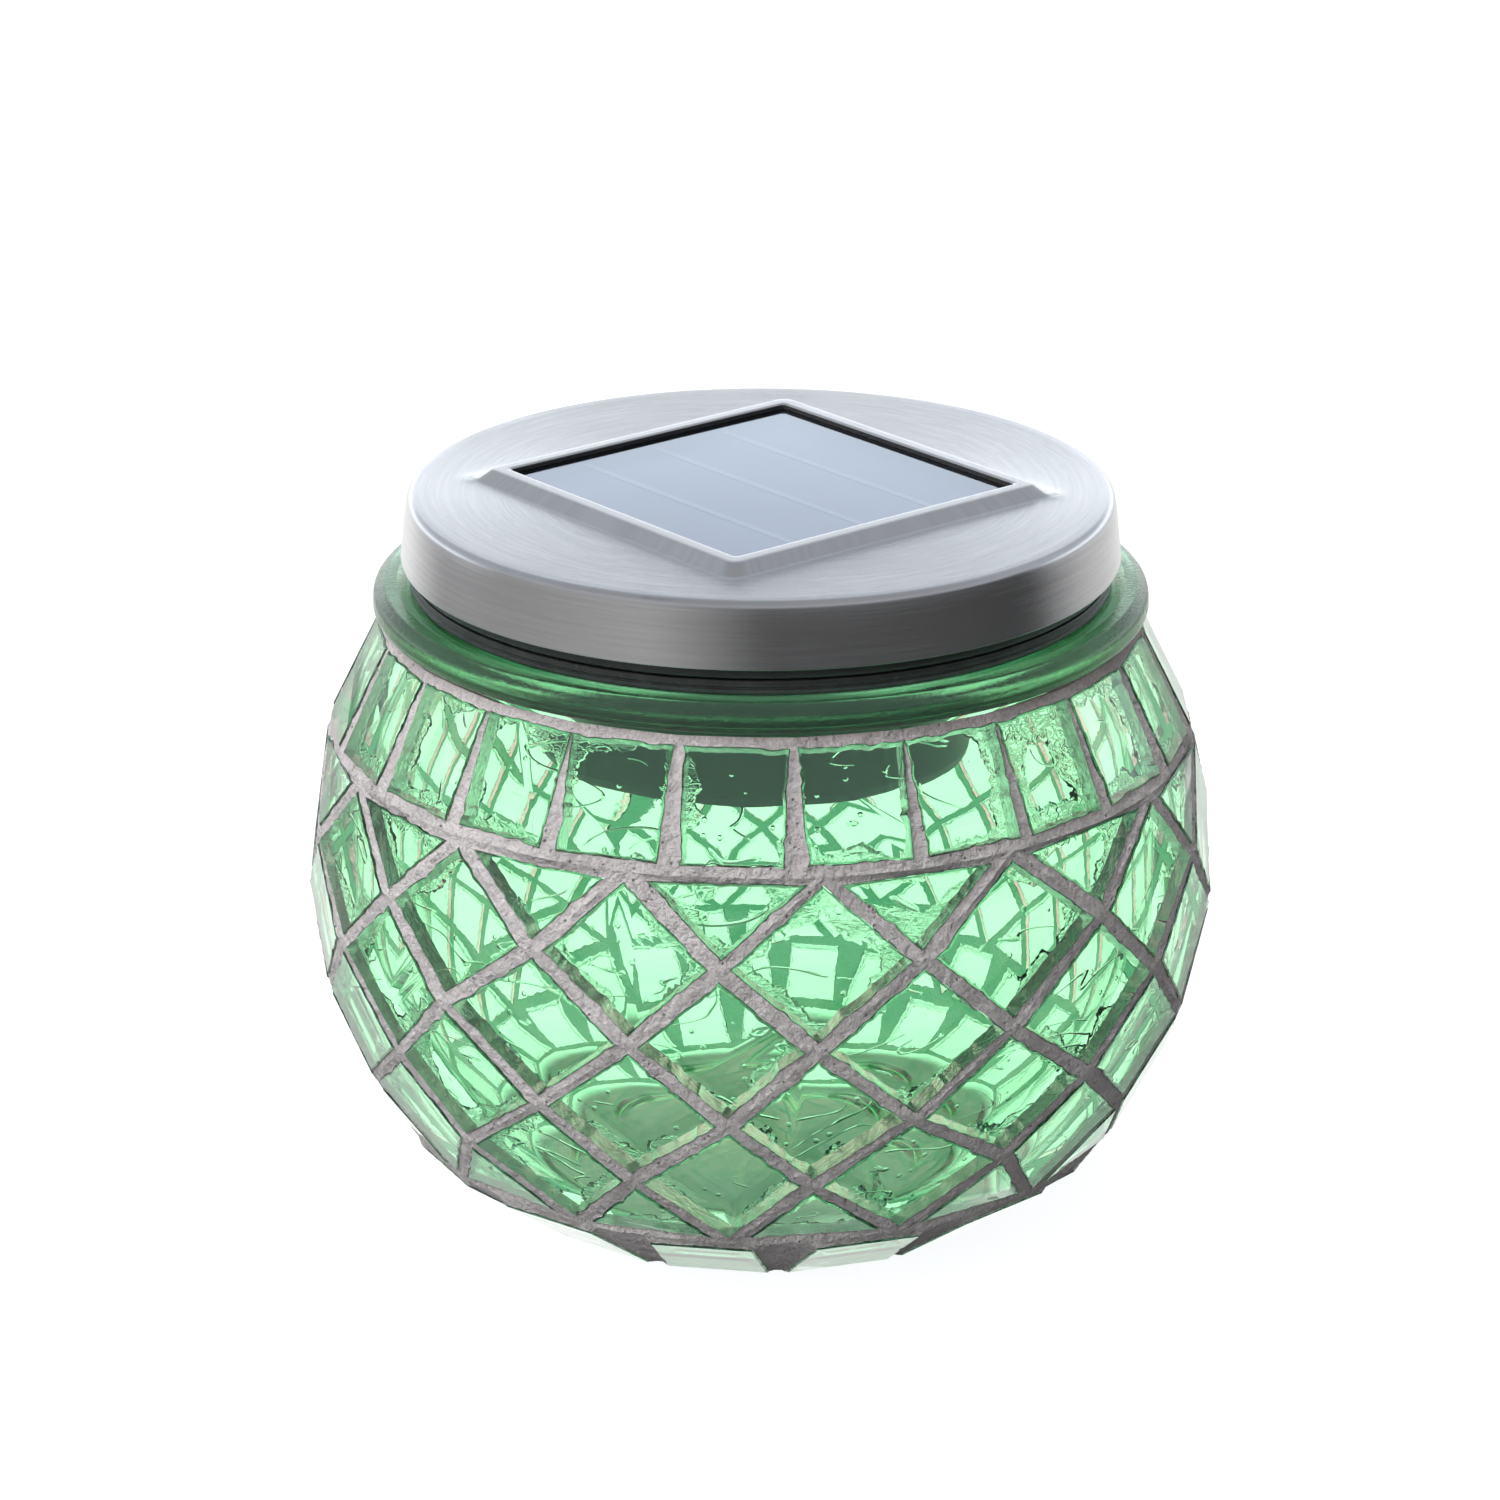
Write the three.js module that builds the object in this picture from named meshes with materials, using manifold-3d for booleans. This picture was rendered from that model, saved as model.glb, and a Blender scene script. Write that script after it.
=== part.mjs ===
// Mosaic glass solar jar lantern: a round green glass bowl covered with flat
// clear glass tiles set in grey grout, and a brushed steel lid that holds a
// square solar panel and, under it, the lamp, the cell and the circuit.
//
// Units are millimetres and +Z is up. The origin is the centre of the jar's
// flat base, on the table. Angles round the jar are in degrees from -Y (the
// front), positive towards +X.
import * as THREE from 'three';
import { mergeVertices } from 'three/addons/utils/BufferGeometryUtils.js';
import Module from 'manifold-3d';

const wasm = await Module();
wasm.setup();

// ------------------------------------------------------- driving dimensions
const TURN = 40;                 // facets round the large turned parts

// Jar and mosaic
const BODY = [                   // [arc, radius, height] of the mosaic's outer face, from the rim down
  [4.5, 47.40, 77.75], [9.0, 49.26, 73.77], [13.5, 51.23, 69.71], [18.0, 53.31, 65.72],
  [22.5, 55.30, 61.61], [27.0, 56.55, 57.16], [31.5, 57.21, 52.61], [36.0, 57.59, 48.08],
  [40.5, 57.81, 43.56], [45.0, 57.85, 38.99], [49.5, 57.36, 34.41], [54.0, 56.29, 29.97],
  [58.5, 54.84, 25.61], [63.0, 53.07, 21.42], [67.5, 51.08, 17.32], [72.0, 48.82, 13.32],
  [76.5, 46.11, 9.57], [81.0, 42.84, 6.30], [85.5, 39.20, 3.65], [90.0, 35.40, 1.30], [93.1, 32.70, 0.02]];
const RIM_R = 48.6, RIM_TOP = 81.4, RIM_BOTTOM = 77.75, NECK_R = 40.1;
const GLASS_WALL = 2.7;          // jar wall
const JAR_SINK = [[4.5, 3.35], [16, 3.4], [20.5, 4.45], [31.5, 4.35], [63, 4.25], [76.5, 4.05], [93.1, 4.05]]; // mosaic face to jar glass, by arc
const FOOT_R = 29.0, PUNT_R = 21.5, PUNT_H = 5.0;
const TILE_T = 2.6;              // glass tile thickness
const PROUD = 0.35;              // tile face above the grout
const JOINT = 0.85;              // half the usual grout joint
const TILE_GAP = 0.15;           // tile edge to grout
const ARC = { top: 5.05, a: 21.6, b: 32.4, c: 42.75, d: 53.1, e: 63.2, f: 74.7, foot: 92.3 };
const R1 = { top: 6.3, bottom: 20.4, width: 12.35 };
const R2 = { top: 76.1, bottom: 91.1, width: 13.5 };

// Steel lid, round
const LID_R = 45.0, LID_BOTTOM = 84.5, LID_TOP = 92.8, SHEET = 0.5;
const FRAME_TOP = 94.1, FRAME_SQ = 48.7, FRAME_SLOPE = 1.6, WINDOW_SQ = 44.7;
const PANEL_TURN = 39.5;         // degrees the square panel is turned about Z
const PANEL_SQ = 46.4, CELL_COUNT = 4;

// Housing under the lid
const TRAY_R = 43.9, TRAY_BOTTOM = 83.0, PLUG_R = 38.1, PLUG_BOTTOM = 77.0;
const CUP_R = 28.0, CUP_WALL = 1.7, CUP_BOTTOM = 60.0, CUP_FLOOR = 2.4, CUP_TOP = 88.4;
const CELL_Y = 7.0, CELL_L = 29.5, CELL_R = 5.2, CELL_Z = 66.75;
const BOARD_Z = 65.9, BOARD_T = 1.2;
const LAMP = [0, -9.5], SWITCH = [-14.5, -11.0], SWITCH_TRAVEL = 2.0;
const BOARD_POSTS = [[15.5, -14.0], [-6.5, -20.5]];
const COVER = { x0: -18.0, x1: 22.0, y0: 0.4, y1: 13.6, screw: [19.2, 7.0] };

// ------------------------------------------------------------------ helpers
const rad = THREE.MathUtils.degToRad;
const V = (x, y, z) => new THREE.Vector3(x, y, z);
const turnZ = (deg) => new THREE.Matrix4().makeRotationZ(rad(deg));

// A closed three.js geometry as a solid for joining and cutting.
function solid(geometry) {
  const g = geometry.clone();
  g.deleteAttribute('normal');
  g.deleteAttribute('uv');
  const m = mergeVertices(g, 1e-4);
  const p = m.attributes.position.array, index = m.index.array, tri = [];
  let volume = 0;
  for (let i = 0; i < index.length; i += 3) {
    const [a, b, c] = [index[i], index[i + 1], index[i + 2]];
    if (a === b || b === c || c === a) continue;
    tri.push(a, b, c);
    const A = V(p[3 * a], p[3 * a + 1], p[3 * a + 2]);
    volume += A.dot(V(p[3 * b], p[3 * b + 1], p[3 * b + 2]).cross(V(p[3 * c], p[3 * c + 1], p[3 * c + 2])));
  }
  if (volume < 0) for (let i = 0; i < tri.length; i += 3) [tri[i], tri[i + 1]] = [tri[i + 1], tri[i]];
  return new wasm.Manifold(new wasm.Mesh({
    numProp: 3, vertProperties: new Float32Array(p), triVerts: new Uint32Array(tri) }));
}
function shape(manifold) {
  const m = manifold.getMesh();
  const g = new THREE.BufferGeometry();
  g.setAttribute('position', new THREE.BufferAttribute(new Float32Array(m.vertProperties), 3));
  g.setIndex(new THREE.BufferAttribute(new Uint32Array(m.triVerts), 1));
  g.computeVertexNormals();
  return g;
}
const join = (...s) => s.flat().reduce((a, b) => a.add(b));
const cut = (a, ...s) => s.flat().reduce((x, y) => x.subtract(y), a);

// Turned solid about Z from [radius, height] points.
function turned(points, facets = TURN) {
  const on = (q) => q[0] === 0;
  const pts = points.map((q) => new THREE.Vector2(q[0], q[1]));
  if (!(on(points[0]) && on(points[points.length - 1]))) pts.push(pts[0].clone());
  return new THREE.LatheGeometry(pts, facets).rotateX(Math.PI / 2);
}
const disc = (x, y, r, z0, z1, facets = 16) =>
  new THREE.CylinderGeometry(r, r, z1 - z0, facets).rotateX(Math.PI / 2).translate(x, y, (z0 + z1) / 2);
const block = (x0, x1, y0, y1, z0, z1) =>
  new THREE.BoxGeometry(x1 - x0, y1 - y0, z1 - z0).translate((x0 + x1) / 2, (y0 + y1) / 2, (z0 + z1) / 2);
const square = (side, z0, z1) => block(-side / 2, side / 2, -side / 2, side / 2, z0, z1);
function roundedSquare(side, r) {
  const h = side / 2, s = new THREE.Shape();
  s.moveTo(-h + r, -h);
  s.lineTo(h - r, -h); s.absarc(h - r, -h + r, r, -Math.PI / 2, 0);
  s.lineTo(h, h - r); s.absarc(h - r, h - r, r, 0, Math.PI / 2);
  s.lineTo(-h + r, h); s.absarc(-h + r, h - r, r, Math.PI / 2, Math.PI);
  s.lineTo(-h, -h + r); s.absarc(-h + r, -h + r, r, Math.PI, Math.PI * 1.5);
  return s;
}
// Rounded square whose top edge is bevelled outwards, top face at z1.
function mesa(side, r, slope, rise, z0, z1) {
  return new THREE.ExtrudeGeometry(roundedSquare(side, r), {
    depth: z1 - z0 - 2 * rise, bevelEnabled: true, bevelThickness: rise, bevelSize: slope,
    bevelSegments: 1, curveSegments: 3 }).translate(0, 0, z0 + rise);
}
// Round rod along a curve.
function rod(points, r, steps, sides = 6) {
  const s = new THREE.Shape();
  s.absarc(0, 0, r, 0, Math.PI * 2);
  return new THREE.ExtrudeGeometry(s, {
    steps, curveSegments: sides, bevelEnabled: false,
    extrudePath: new THREE.CatmullRomCurve3(points.map((q) => V(...q))) });
}
// Repeatable spread of small differences between hand-laid tiles, -1 to 1.
function spread(i, k) {
  const x = Math.sin(i * 12.9898 + k * 78.233) * 43758.5453;
  return 2 * (x - Math.floor(x)) - 1;
}

const root = new THREE.Group();
root.name = 'mosaic_solar_lantern';
function piece(parent, name, geometry, color, roughness, metalness, extra = {}) {
  const g = geometry instanceof THREE.BufferGeometry ? geometry : shape(geometry);
  const mesh = new THREE.Mesh(g, new THREE.MeshStandardMaterial({ color, roughness, metalness, ...extra }));
  mesh.name = name;
  parent.add(mesh);
  return mesh;
}

// ---------------------------------------------------- the body of revolution
function table(t, x) {
  if (x <= t[0][0]) return t[0].slice(1);
  for (let i = 1; i < t.length; i++) {
    if (x <= t[i][0]) {
      const k = (x - t[i - 1][0]) / (t[i][0] - t[i - 1][0]);
      return t[i].slice(1).map((v, j) => t[i - 1][j + 1] + k * (v - t[i - 1][j + 1]));
    }
  }
  return t[t.length - 1].slice(1);
}
// [radius, height] at an arc length, and the outward normal there.
function section(arc, sink = 0) {
  const [r, z] = table(BODY, arc);
  const [ra, za] = table(BODY, arc - 3), [rb, zb] = table(BODY, arc + 3);
  const l = Math.hypot(rb - ra, zb - za), nr = -(zb - za) / l, nz = (rb - ra) / l;
  return [r - sink * nr, z - sink * nz, nr, nz];
}
function onBody(arc, deg, sink = 0) {
  const [r, z] = section(arc, sink);
  return V(r * Math.sin(rad(deg)), -r * Math.cos(rad(deg)), z);
}
const jarSink = (arc) => table(JAR_SINK, arc)[0];

// -------------------------------------------------------------- jar (glass)
const jar = new THREE.Group();
root.add(jar);
{
  const arcs = [6, 16, 21, 28, 37, 47, 57, 67, 76, 84, 91.5];
  const outside = arcs.map((a) => section(a, jarSink(a)).slice(0, 2));
  const inside = [6, 21, 35, 49, 63, 77, 88.5].map((a) => section(a, jarSink(a) + GLASS_WALL).slice(0, 2));
  const profile = [
    [0, PUNT_H], [14, PUNT_H - 0.9], [PUNT_R, 0], [FOOT_R - 0.8, 0], [FOOT_R, 0.7],
    ...outside.reverse(),
    [43.6, RIM_BOTTOM - 0.05], [47.8, RIM_BOTTOM], [RIM_R, 78.5], [RIM_R, 80.7], [47.8, RIM_TOP],
    [45.3, RIM_TOP], [44.1, 80.85], [40.7, 80.6], [NECK_R, 79.9], [NECK_R, 76.4],
    ...inside,
    [26.5, 4.3], [21.5, 4.2], [14.5, 8.0], [0, 8.9]];
  piece(jar, 'glass_jar', turned(profile), 0x7fd492, 0.06, 0, { transparent: true, opacity: 0.35 });
}

// ------------------------------------------------- lattice of the hand-laid mosaic
// Angles of the grout crossings at each level, 15 to a level.
const even = (from, to, n) => Array.from({ length: n }, (_, i) => from + (to - from) * (i + 1) / (n + 1));
const ringOf = (front, n) => [...front, ...even(front[front.length - 1], front[0] + 360, n)];
const NODE = {
  a: ringOf([-64.5, -41, -17, 7.6, 32.8, 60.3], 9),
  b: ringOf([-52.3, -28.5, -5, 19.5, 46], 10),
  c: ringOf([-64, -41.5, -16, 6.5, 31.5, 57], 9),
  d: ringOf([-52, -28.5, -4, 19, 45], 10),
  e: [-66.6, ...ringOf([-43, -17, 6.5, 34], 11).slice(0, 14)],
  f: [-52.4, ...ringOf([-28.5, -4.5, 21], 12).slice(0, 14)],
};
const R1_TILES = [[-72, -59], [-57, -43.5], [-41.5, -28.5], [-27, -13.5], [-10.5, 3.5], [6, 19], [21.5, 35], [35.7, 49], [50.2, 64], [66.5, 80]];
const R1_JOINTS = ringOf([-73.3, ...R1_TILES.slice(0, 9).map((t, i) => (t[1] + R1_TILES[i + 1][0]) / 2), 81.4], 12);
const R2_CENTRES = ringOf([-35, -9.5, 17.5, 41], 10);
const R2_JOINTS = R2_CENTRES.map((c, i) => (c + (i + 1 < 14 ? R2_CENTRES[i + 1] : R2_CENTRES[0] + 360)) / 2);

const nodes = [];                // { level, deg, arc, outer, inner }
function addNode(level, deg, arc) {
  const depth = { top: 2.3, R1: 2.6, R2: 2.2, foot: 2.2 }[level] ?? TILE_T + 0.15;
  nodes.push({ level, deg, arc, at: onBody(arc, deg), outer: onBody(arc, deg, PROUD), inner: onBody(arc, deg, depth) });
  return nodes.length - 1;
}
const id = {};
['a', 'b', 'c', 'd', 'e', 'f'].forEach((level, k) => {
  id[level] = NODE[level].map((deg, i) => addNode(level, deg, ARC[level] + (k > 0 && k < 5 ? 0.4 * spread(i, k) : 0)));
});
const r1Low = R1_JOINTS.map((deg) => addNode('R1', deg, ARC.a));
const r1Top = R1_JOINTS.map((deg) => addNode('top', deg, ARC.top));
const r2Top = R2_JOINTS.map((deg) => addNode('R2', deg, ARC.f));
const r2Low = R2_JOINTS.map((deg) => addNode('foot', deg, ARC.foot));
const norm = (d) => ((d % 360) + 360) % 360;
// Nodes of a ring strictly between two of its nodes, left to right.
function between(ring, i, j) {
  const from = norm(nodes[i].deg), span = norm(nodes[j].deg - nodes[i].deg);
  return ring.filter((n) => n !== i && n !== j && norm(nodes[n].deg - from) < span)
    .sort((p, q) => norm(nodes[p].deg - from) - norm(nodes[q].deg - from));
}
const ringA = [...id.a, ...r1Low], ringF = [...id.f, ...r2Top];

// Cells of the lattice: outline (anticlockwise seen from outside), the nodes
// that carry the tile, and the grout left along each edge of the tile.
const cells = [];
const at = (list, k) => list[(k + list.length) % list.length];
for (let k = 0; k < R1_JOINTS.length; k++) {
  const l = r1Low[k], r = at(r1Low, k + 1);
  cells.push({ row: 'tiles_upper_rectangles', k, rect: R1, outline: [l, ...between(ringA, l, r), r, at(r1Top, k + 1), r1Top[k]] });
}
for (let k = 0; k < 15; k++) {
  const l = id.a[k], r = at(id.a, k + 1);
  cells.push({ row: 'tiles_upper_triangles', k, corners: [l, id.b[k], r], edges: [1, 1, 1.35], outline: [l, id.b[k], r, ...between(ringA, l, r).reverse()] });
}
for (let k = 0; k < 15; k++) {
  const quad = (row, l, b, r, t) => cells.push({ row, k, corners: [l, b, r, t], edges: [1, 1, 1, 1], outline: [l, b, r, t] });
  quad('tiles_diamond_course_1', at(id.b, k - 1), id.c[k], id.b[k], id.a[k]);
  quad('tiles_diamond_course_2', id.c[k], id.d[k], at(id.c, k + 1), id.b[k]);
  quad('tiles_diamond_course_3', at(id.d, k - 1), id.e[k], id.d[k], id.c[k]);
  quad('tiles_diamond_course_4', id.e[k], id.f[k], at(id.e, k + 1), id.d[k]);
}
for (let k = 0; k < 15; k++) {
  const l = at(id.f, k - 1), r = id.f[k];
  cells.push({ row: 'tiles_lower_triangles', k, corners: [l, r, id.e[k]], edges: [1.5, 1, 1], outline: [l, ...between(ringF, l, r), r, id.e[k]] });
}
for (let k = 0; k < 14; k++) {
  const l = r2Top[k], r = at(r2Top, k + 1);
  cells.push({ row: 'tiles_base_rectangles', k, rect: R2, outline: [r2Low[k], at(r2Low, k + 1), r, ...between(ringF, l, r).reverse(), l] });
}

// Each cell's tile plane and window.
cells.forEach((cell, n) => {
  let centre, normal, u, v, flat;
  if (cell.rect) {
    const [l, r] = [cell.outline[0], cell.rect === R1 ? cell.outline.at(-3) : cell.outline[1]].map((q) => nodes[q].deg);
    const mid = l + norm(r - l) / 2;
    const half = (arc) => cell.rect.width / 2 / section(arc)[0] * 180 / Math.PI;
    const p = [[cell.rect.bottom, -1], [cell.rect.bottom, 1], [cell.rect.top, 1], [cell.rect.top, -1]]
      .map(([arc, s]) => onBody(arc, mid + s * half(arc)));
    centre = p.reduce((q, w) => q.add(w.clone().multiplyScalar(0.25)), V(0, 0, 0));
    u = p[1].clone().sub(p[0]).normalize();
    const up = p[2].clone().add(p[3]).sub(p[0]).sub(p[1]).multiplyScalar(0.5);
    v = up.clone().addScaledVector(u, -up.dot(u));
    const h = v.length() / 2;
    v.normalize();
    normal = u.clone().cross(v);
    const w = cell.rect.width / 2 + 0.25 * spread(n, 3), t = 0.018 * spread(n, 5);
    flat = [[-w, -h], [w, -h], [w, h], [-w, h]].map(([x, y]) => [x - t * y, y + t * x]);
  } else {
    const p = cell.corners.map((q) => nodes[q].at);
    centre = p.reduce((q, w) => q.add(w.clone().multiplyScalar(1 / p.length)), V(0, 0, 0));
    normal = p.length === 4 ? p[2].clone().sub(p[0]).cross(p[3].clone().sub(p[1])) : p[1].clone().sub(p[0]).cross(p[2].clone().sub(p[0]));
    normal.normalize();
    u = V(0, 0, 1).cross(normal).normalize();
    v = normal.clone().cross(u);
    const q = p.map((w) => { const d = w.clone().sub(centre); return [d.dot(u), d.dot(v)]; });
    const lines = q.map((s, i) => {
      const e = q[(i + 1) % q.length], dx = e[0] - s[0], dy = e[1] - s[1], l = Math.hypot(dx, dy);
      const inset = JOINT * cell.edges[i] * (1 + 0.22 * spread(n, 11 + i));
      const turn = 0.012 * spread(n, 21 + i);
      const c = Math.cos(turn), sn = Math.sin(turn);
      const d = [(dx * c - dy * sn) / l, (dx * sn + dy * c) / l];
      const m = [(s[0] + e[0]) / 2 - dy / l * inset, (s[1] + e[1]) / 2 + dx / l * inset];
      return [m, d];
    });
    flat = lines.map(([m1, d1], i) => {
      const [m0, d0] = lines[(i + lines.length - 1) % lines.length];
      const k = ((m1[0] - m0[0]) * d1[1] - (m1[1] - m0[1]) * d1[0]) / (d0[0] * d1[1] - d0[1] * d1[0]);
      return [m0[0] + d0[0] * k, m0[1] + d0[1] * k];
    });
  }
  Object.assign(cell, { centre, normal, u, v, flat });
  cell.at = (x, y, sink) => centre.clone().addScaledVector(u, x).addScaledVector(v, y).addScaledVector(normal, -sink);
});

// -------------------------------------------------------------- grout lattice
{
  const points = [], index = [];
  const add = (p) => { points.push(p.x, p.y, p.z); return points.length / 3 - 1; };
  const outerId = nodes.map((n) => add(n.outer)), innerId = nodes.map((n) => add(n.inner));
  for (const cell of cells) {
    const hole = cell.flat.map(([x, y]) => ({ a: Math.atan2(y, x), o: add(cell.at(x, y, PROUD)), i: add(cell.at(x, y, TILE_T - (cell.rect ? 0.15 : 0))) }));
    const rim = cell.outline.map((q) => {
      const d = nodes[q].at.clone().sub(cell.centre);
      return { a: Math.atan2(d.dot(cell.v), d.dot(cell.u)), o: outerId[q], i: innerId[q] };
    });
    const spin = (list) => {
      let k = 0;
      list.forEach((p, i) => { if (p.a < list[k].a) k = i; });
      return [...list.slice(k), ...list.slice(0, k)];
    };
    const A = spin(rim), B = spin(hole);
    let i = 0, j = 0;
    const ang = (list, k) => list[k % list.length].a + (k >= list.length ? 2 * Math.PI : 0);
    while (i < A.length || j < B.length) {
      const pa = A[i % A.length], pb = B[j % B.length];
      if (j >= B.length || (i < A.length && ang(A, i + 1) <= ang(B, j + 1))) {
        const pn = A[(i + 1) % A.length];
        index.push(pa.o, pn.o, pb.o, pa.i, pb.i, pn.i);
        i++;
      } else {
        const pn = B[(j + 1) % B.length];
        index.push(pa.o, pn.o, pb.o, pa.i, pb.i, pn.i);
        j++;
      }
    }
    hole.forEach((p, k) => {
      const q = hole[(k + 1) % hole.length];
      index.push(p.o, q.o, q.i, p.o, q.i, p.i);
    });
  }
  const edge = (ring, flip) => ring.forEach((n, k) => {
    const m = at(ring, k + 1), [a, b] = flip ? [m, n] : [n, m];
    index.push(outerId[a], innerId[b], outerId[b], outerId[a], innerId[a], innerId[b]);
  });
  edge(r1Top, true);
  edge(r2Low, false);
  const g = new THREE.BufferGeometry();
  g.setAttribute('position', new THREE.BufferAttribute(new Float32Array(points), 3));
  g.setIndex(index);
  g.computeVertexNormals();
  piece(jar, 'grout_lattice', g, 0x9b9194, 0.95, 0);
}

// ------------------------------------------- tile courses, each on its glue film
const COURSES = {                // arc of the glue film under each course, and its outer face's depth
  tiles_upper_rectangles: [13.3, 2.66],
  tiles_upper_triangles: [24.2, 3.5],
  tiles_diamond_course_1: [32.6, 3.42],
  tiles_diamond_course_2: [42.9, 3.42],
  tiles_diamond_course_3: [53.2, 3.45],
  tiles_diamond_course_4: [63.4, 3.28],
  tiles_lower_triangles: [72.7, 3.38],
  tiles_base_rectangles: [83.6, 3.44],
};
for (const [row, [arc, face]] of Object.entries(COURSES)) {
  const w = 0.7, gap = 0.12;
  const film = turned([section(arc + w, jarSink(arc + w) - gap), section(arc + w, face), section(arc - w, face), section(arc - w, jarSink(arc - w) - gap)]
    .map((q) => q.slice(0, 2)));
  const tiles = cells.filter((c) => c.row === row).map((cell) => {
    const n = cell.flat.length, s = new THREE.Shape();
    const lines = cell.flat.map((p, i) => {
      const e = cell.flat[(i + 1) % n], dx = e[0] - p[0], dy = e[1] - p[1], l = Math.hypot(dx, dy);
      return [[p[0] - dy / l * TILE_GAP, p[1] + dx / l * TILE_GAP], [dx / l, dy / l]];
    });
    lines.forEach(([m1, d1], i) => {
      const [m0, d0] = lines[(i + n - 1) % n];
      const k = ((m1[0] - m0[0]) * d1[1] - (m1[1] - m0[1]) * d1[0]) / (d0[0] * d1[1] - d0[1] * d1[0]);
      const q = [m0[0] + d0[0] * k, m0[1] + d0[1] * k];
      if (i) s.lineTo(...q); else s.moveTo(...q);
    });
    const g = new THREE.ExtrudeGeometry(s, { depth: TILE_T, bevelEnabled: false });
    g.translate(0, 0, -TILE_T);
    g.applyMatrix4(new THREE.Matrix4().makeBasis(cell.u, cell.v, cell.normal).setPosition(cell.centre));
    return solid(g);
  });
  piece(jar, row, join(solid(film), tiles), 0xcdeedb, 0.05, 0, { transparent: true, opacity: 0.4 });
}

// --------------------------------------------------------------- neck seal
const seal = new THREE.Group();
root.add(seal);
piece(seal, 'neck_seal_ring', turned([
  [38.4, 76.6], [39.3, 76.6], [39.85, 77.4], [39.4, 78.2], [39.4, 81.0], [43.9, 81.0], [43.9, 82.9], [38.4, 82.9]]), 0x161617, 0.7, 0);

// ------------------------------------------------------------ steel lid cap
const lid = new THREE.Group();
root.add(lid);
const turn = turnZ(PANEL_TURN);
const turnedSolid = (g) => solid(g.applyMatrix4(turn));
{
  const outer = turned([[0, 84.0], [LID_R, 84.0], [LID_R, LID_BOTTOM], [44.35, 91.1], [44.0, 92.1], [42.9, 92.65], [0, LID_TOP]]);
  const inner = turned([[0, 83.0], [44.4, 83.0], [44.45, LID_BOTTOM], [43.8, 91.0], [43.5, 91.75], [42.7, LID_TOP - 0.15 - SHEET], [0, LID_TOP - SHEET]]);
  const rise = FRAME_TOP - LID_TOP;
  const top = mesa(FRAME_SQ, 1.5, FRAME_SLOPE, rise, 87.0, FRAME_TOP);
  const under = mesa(FRAME_SQ - 0.7, 1.2, FRAME_SLOPE, rise, 86.0, FRAME_TOP - SHEET);
  piece(lid, 'steel_lid_cap', cut(
    join(solid(outer), turnedSolid(top)), solid(inner), turnedSolid(under),
    turnedSolid(square(WINDOW_SQ, 80, 100)),
    solid(disc(0, 0, 50, 82, LID_BOTTOM, 8))), 0xb9b6b4, 0.32, 1);
}

// ------------------------------------------------------------ solar panel
const panel = new THREE.Group();
panel.rotation.z = rad(PANEL_TURN);
lid.add(panel);
piece(panel, 'panel_gasket', cut(solid(square(47.2, 93.43, 93.55)), solid(square(44.9, 92, 94))), 0x0b0b0c, 0.9, 0);
piece(panel, 'panel_cover_plate', square(PANEL_SQ, 92.45, 93.4), 0xaebccb, 0.08, 0, { transparent: true, opacity: 0.5 });
for (let i = 0; i < CELL_COUNT; i++) {
  const pitch = 11.2, x = (i - (CELL_COUNT - 1) / 2) * pitch;
  piece(panel, `solar_cell_${i + 1}`, block(x - 5.42, x + 5.42, -22.2, 22.2, 92.12, 92.37), 0x1a2a4a, 0.25, 0.2);
}
piece(panel, 'panel_board', square(46.2, 91.06, 92.06), 0x20362a, 0.6, 0);

// -------------------------------------------------- black plastic lid tray
const HOUSING_SCREWS = [0, 1, 2, 3].map((k) => {
  const a = rad(PANEL_TURN + 90 * k);
  return [31.8 * Math.cos(a), 31.8 * Math.sin(a)];
});
{
  const body = turned([
    [0, 88.5], [36.4, 88.5], [36.4, PLUG_BOTTOM], [37.7, PLUG_BOTTOM], [PLUG_R, 77.5], [PLUG_R, TRAY_BOTTOM],
    [TRAY_R, TRAY_BOTTOM], [TRAY_R, 84.6], [43.3, 91.0], [42.3, 91.85], [40.6, 91.85], [40.6, 84.9], [38.6, 84.9], [38.6, 91.85], [0, 91.85]]);
  piece(lid, 'lid_tray', cut(solid(body),
    turnedSolid(square(46.8, 91.0, 93)),
    turnedSolid(block(-5, 5, -2.2, 2.2, 87, 91)),
    HOUSING_SCREWS.map(([x, y]) => solid(disc(x, y, 1.4, 88, 91.2, 10)))), 0x131314, 0.5, 0);
}

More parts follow.
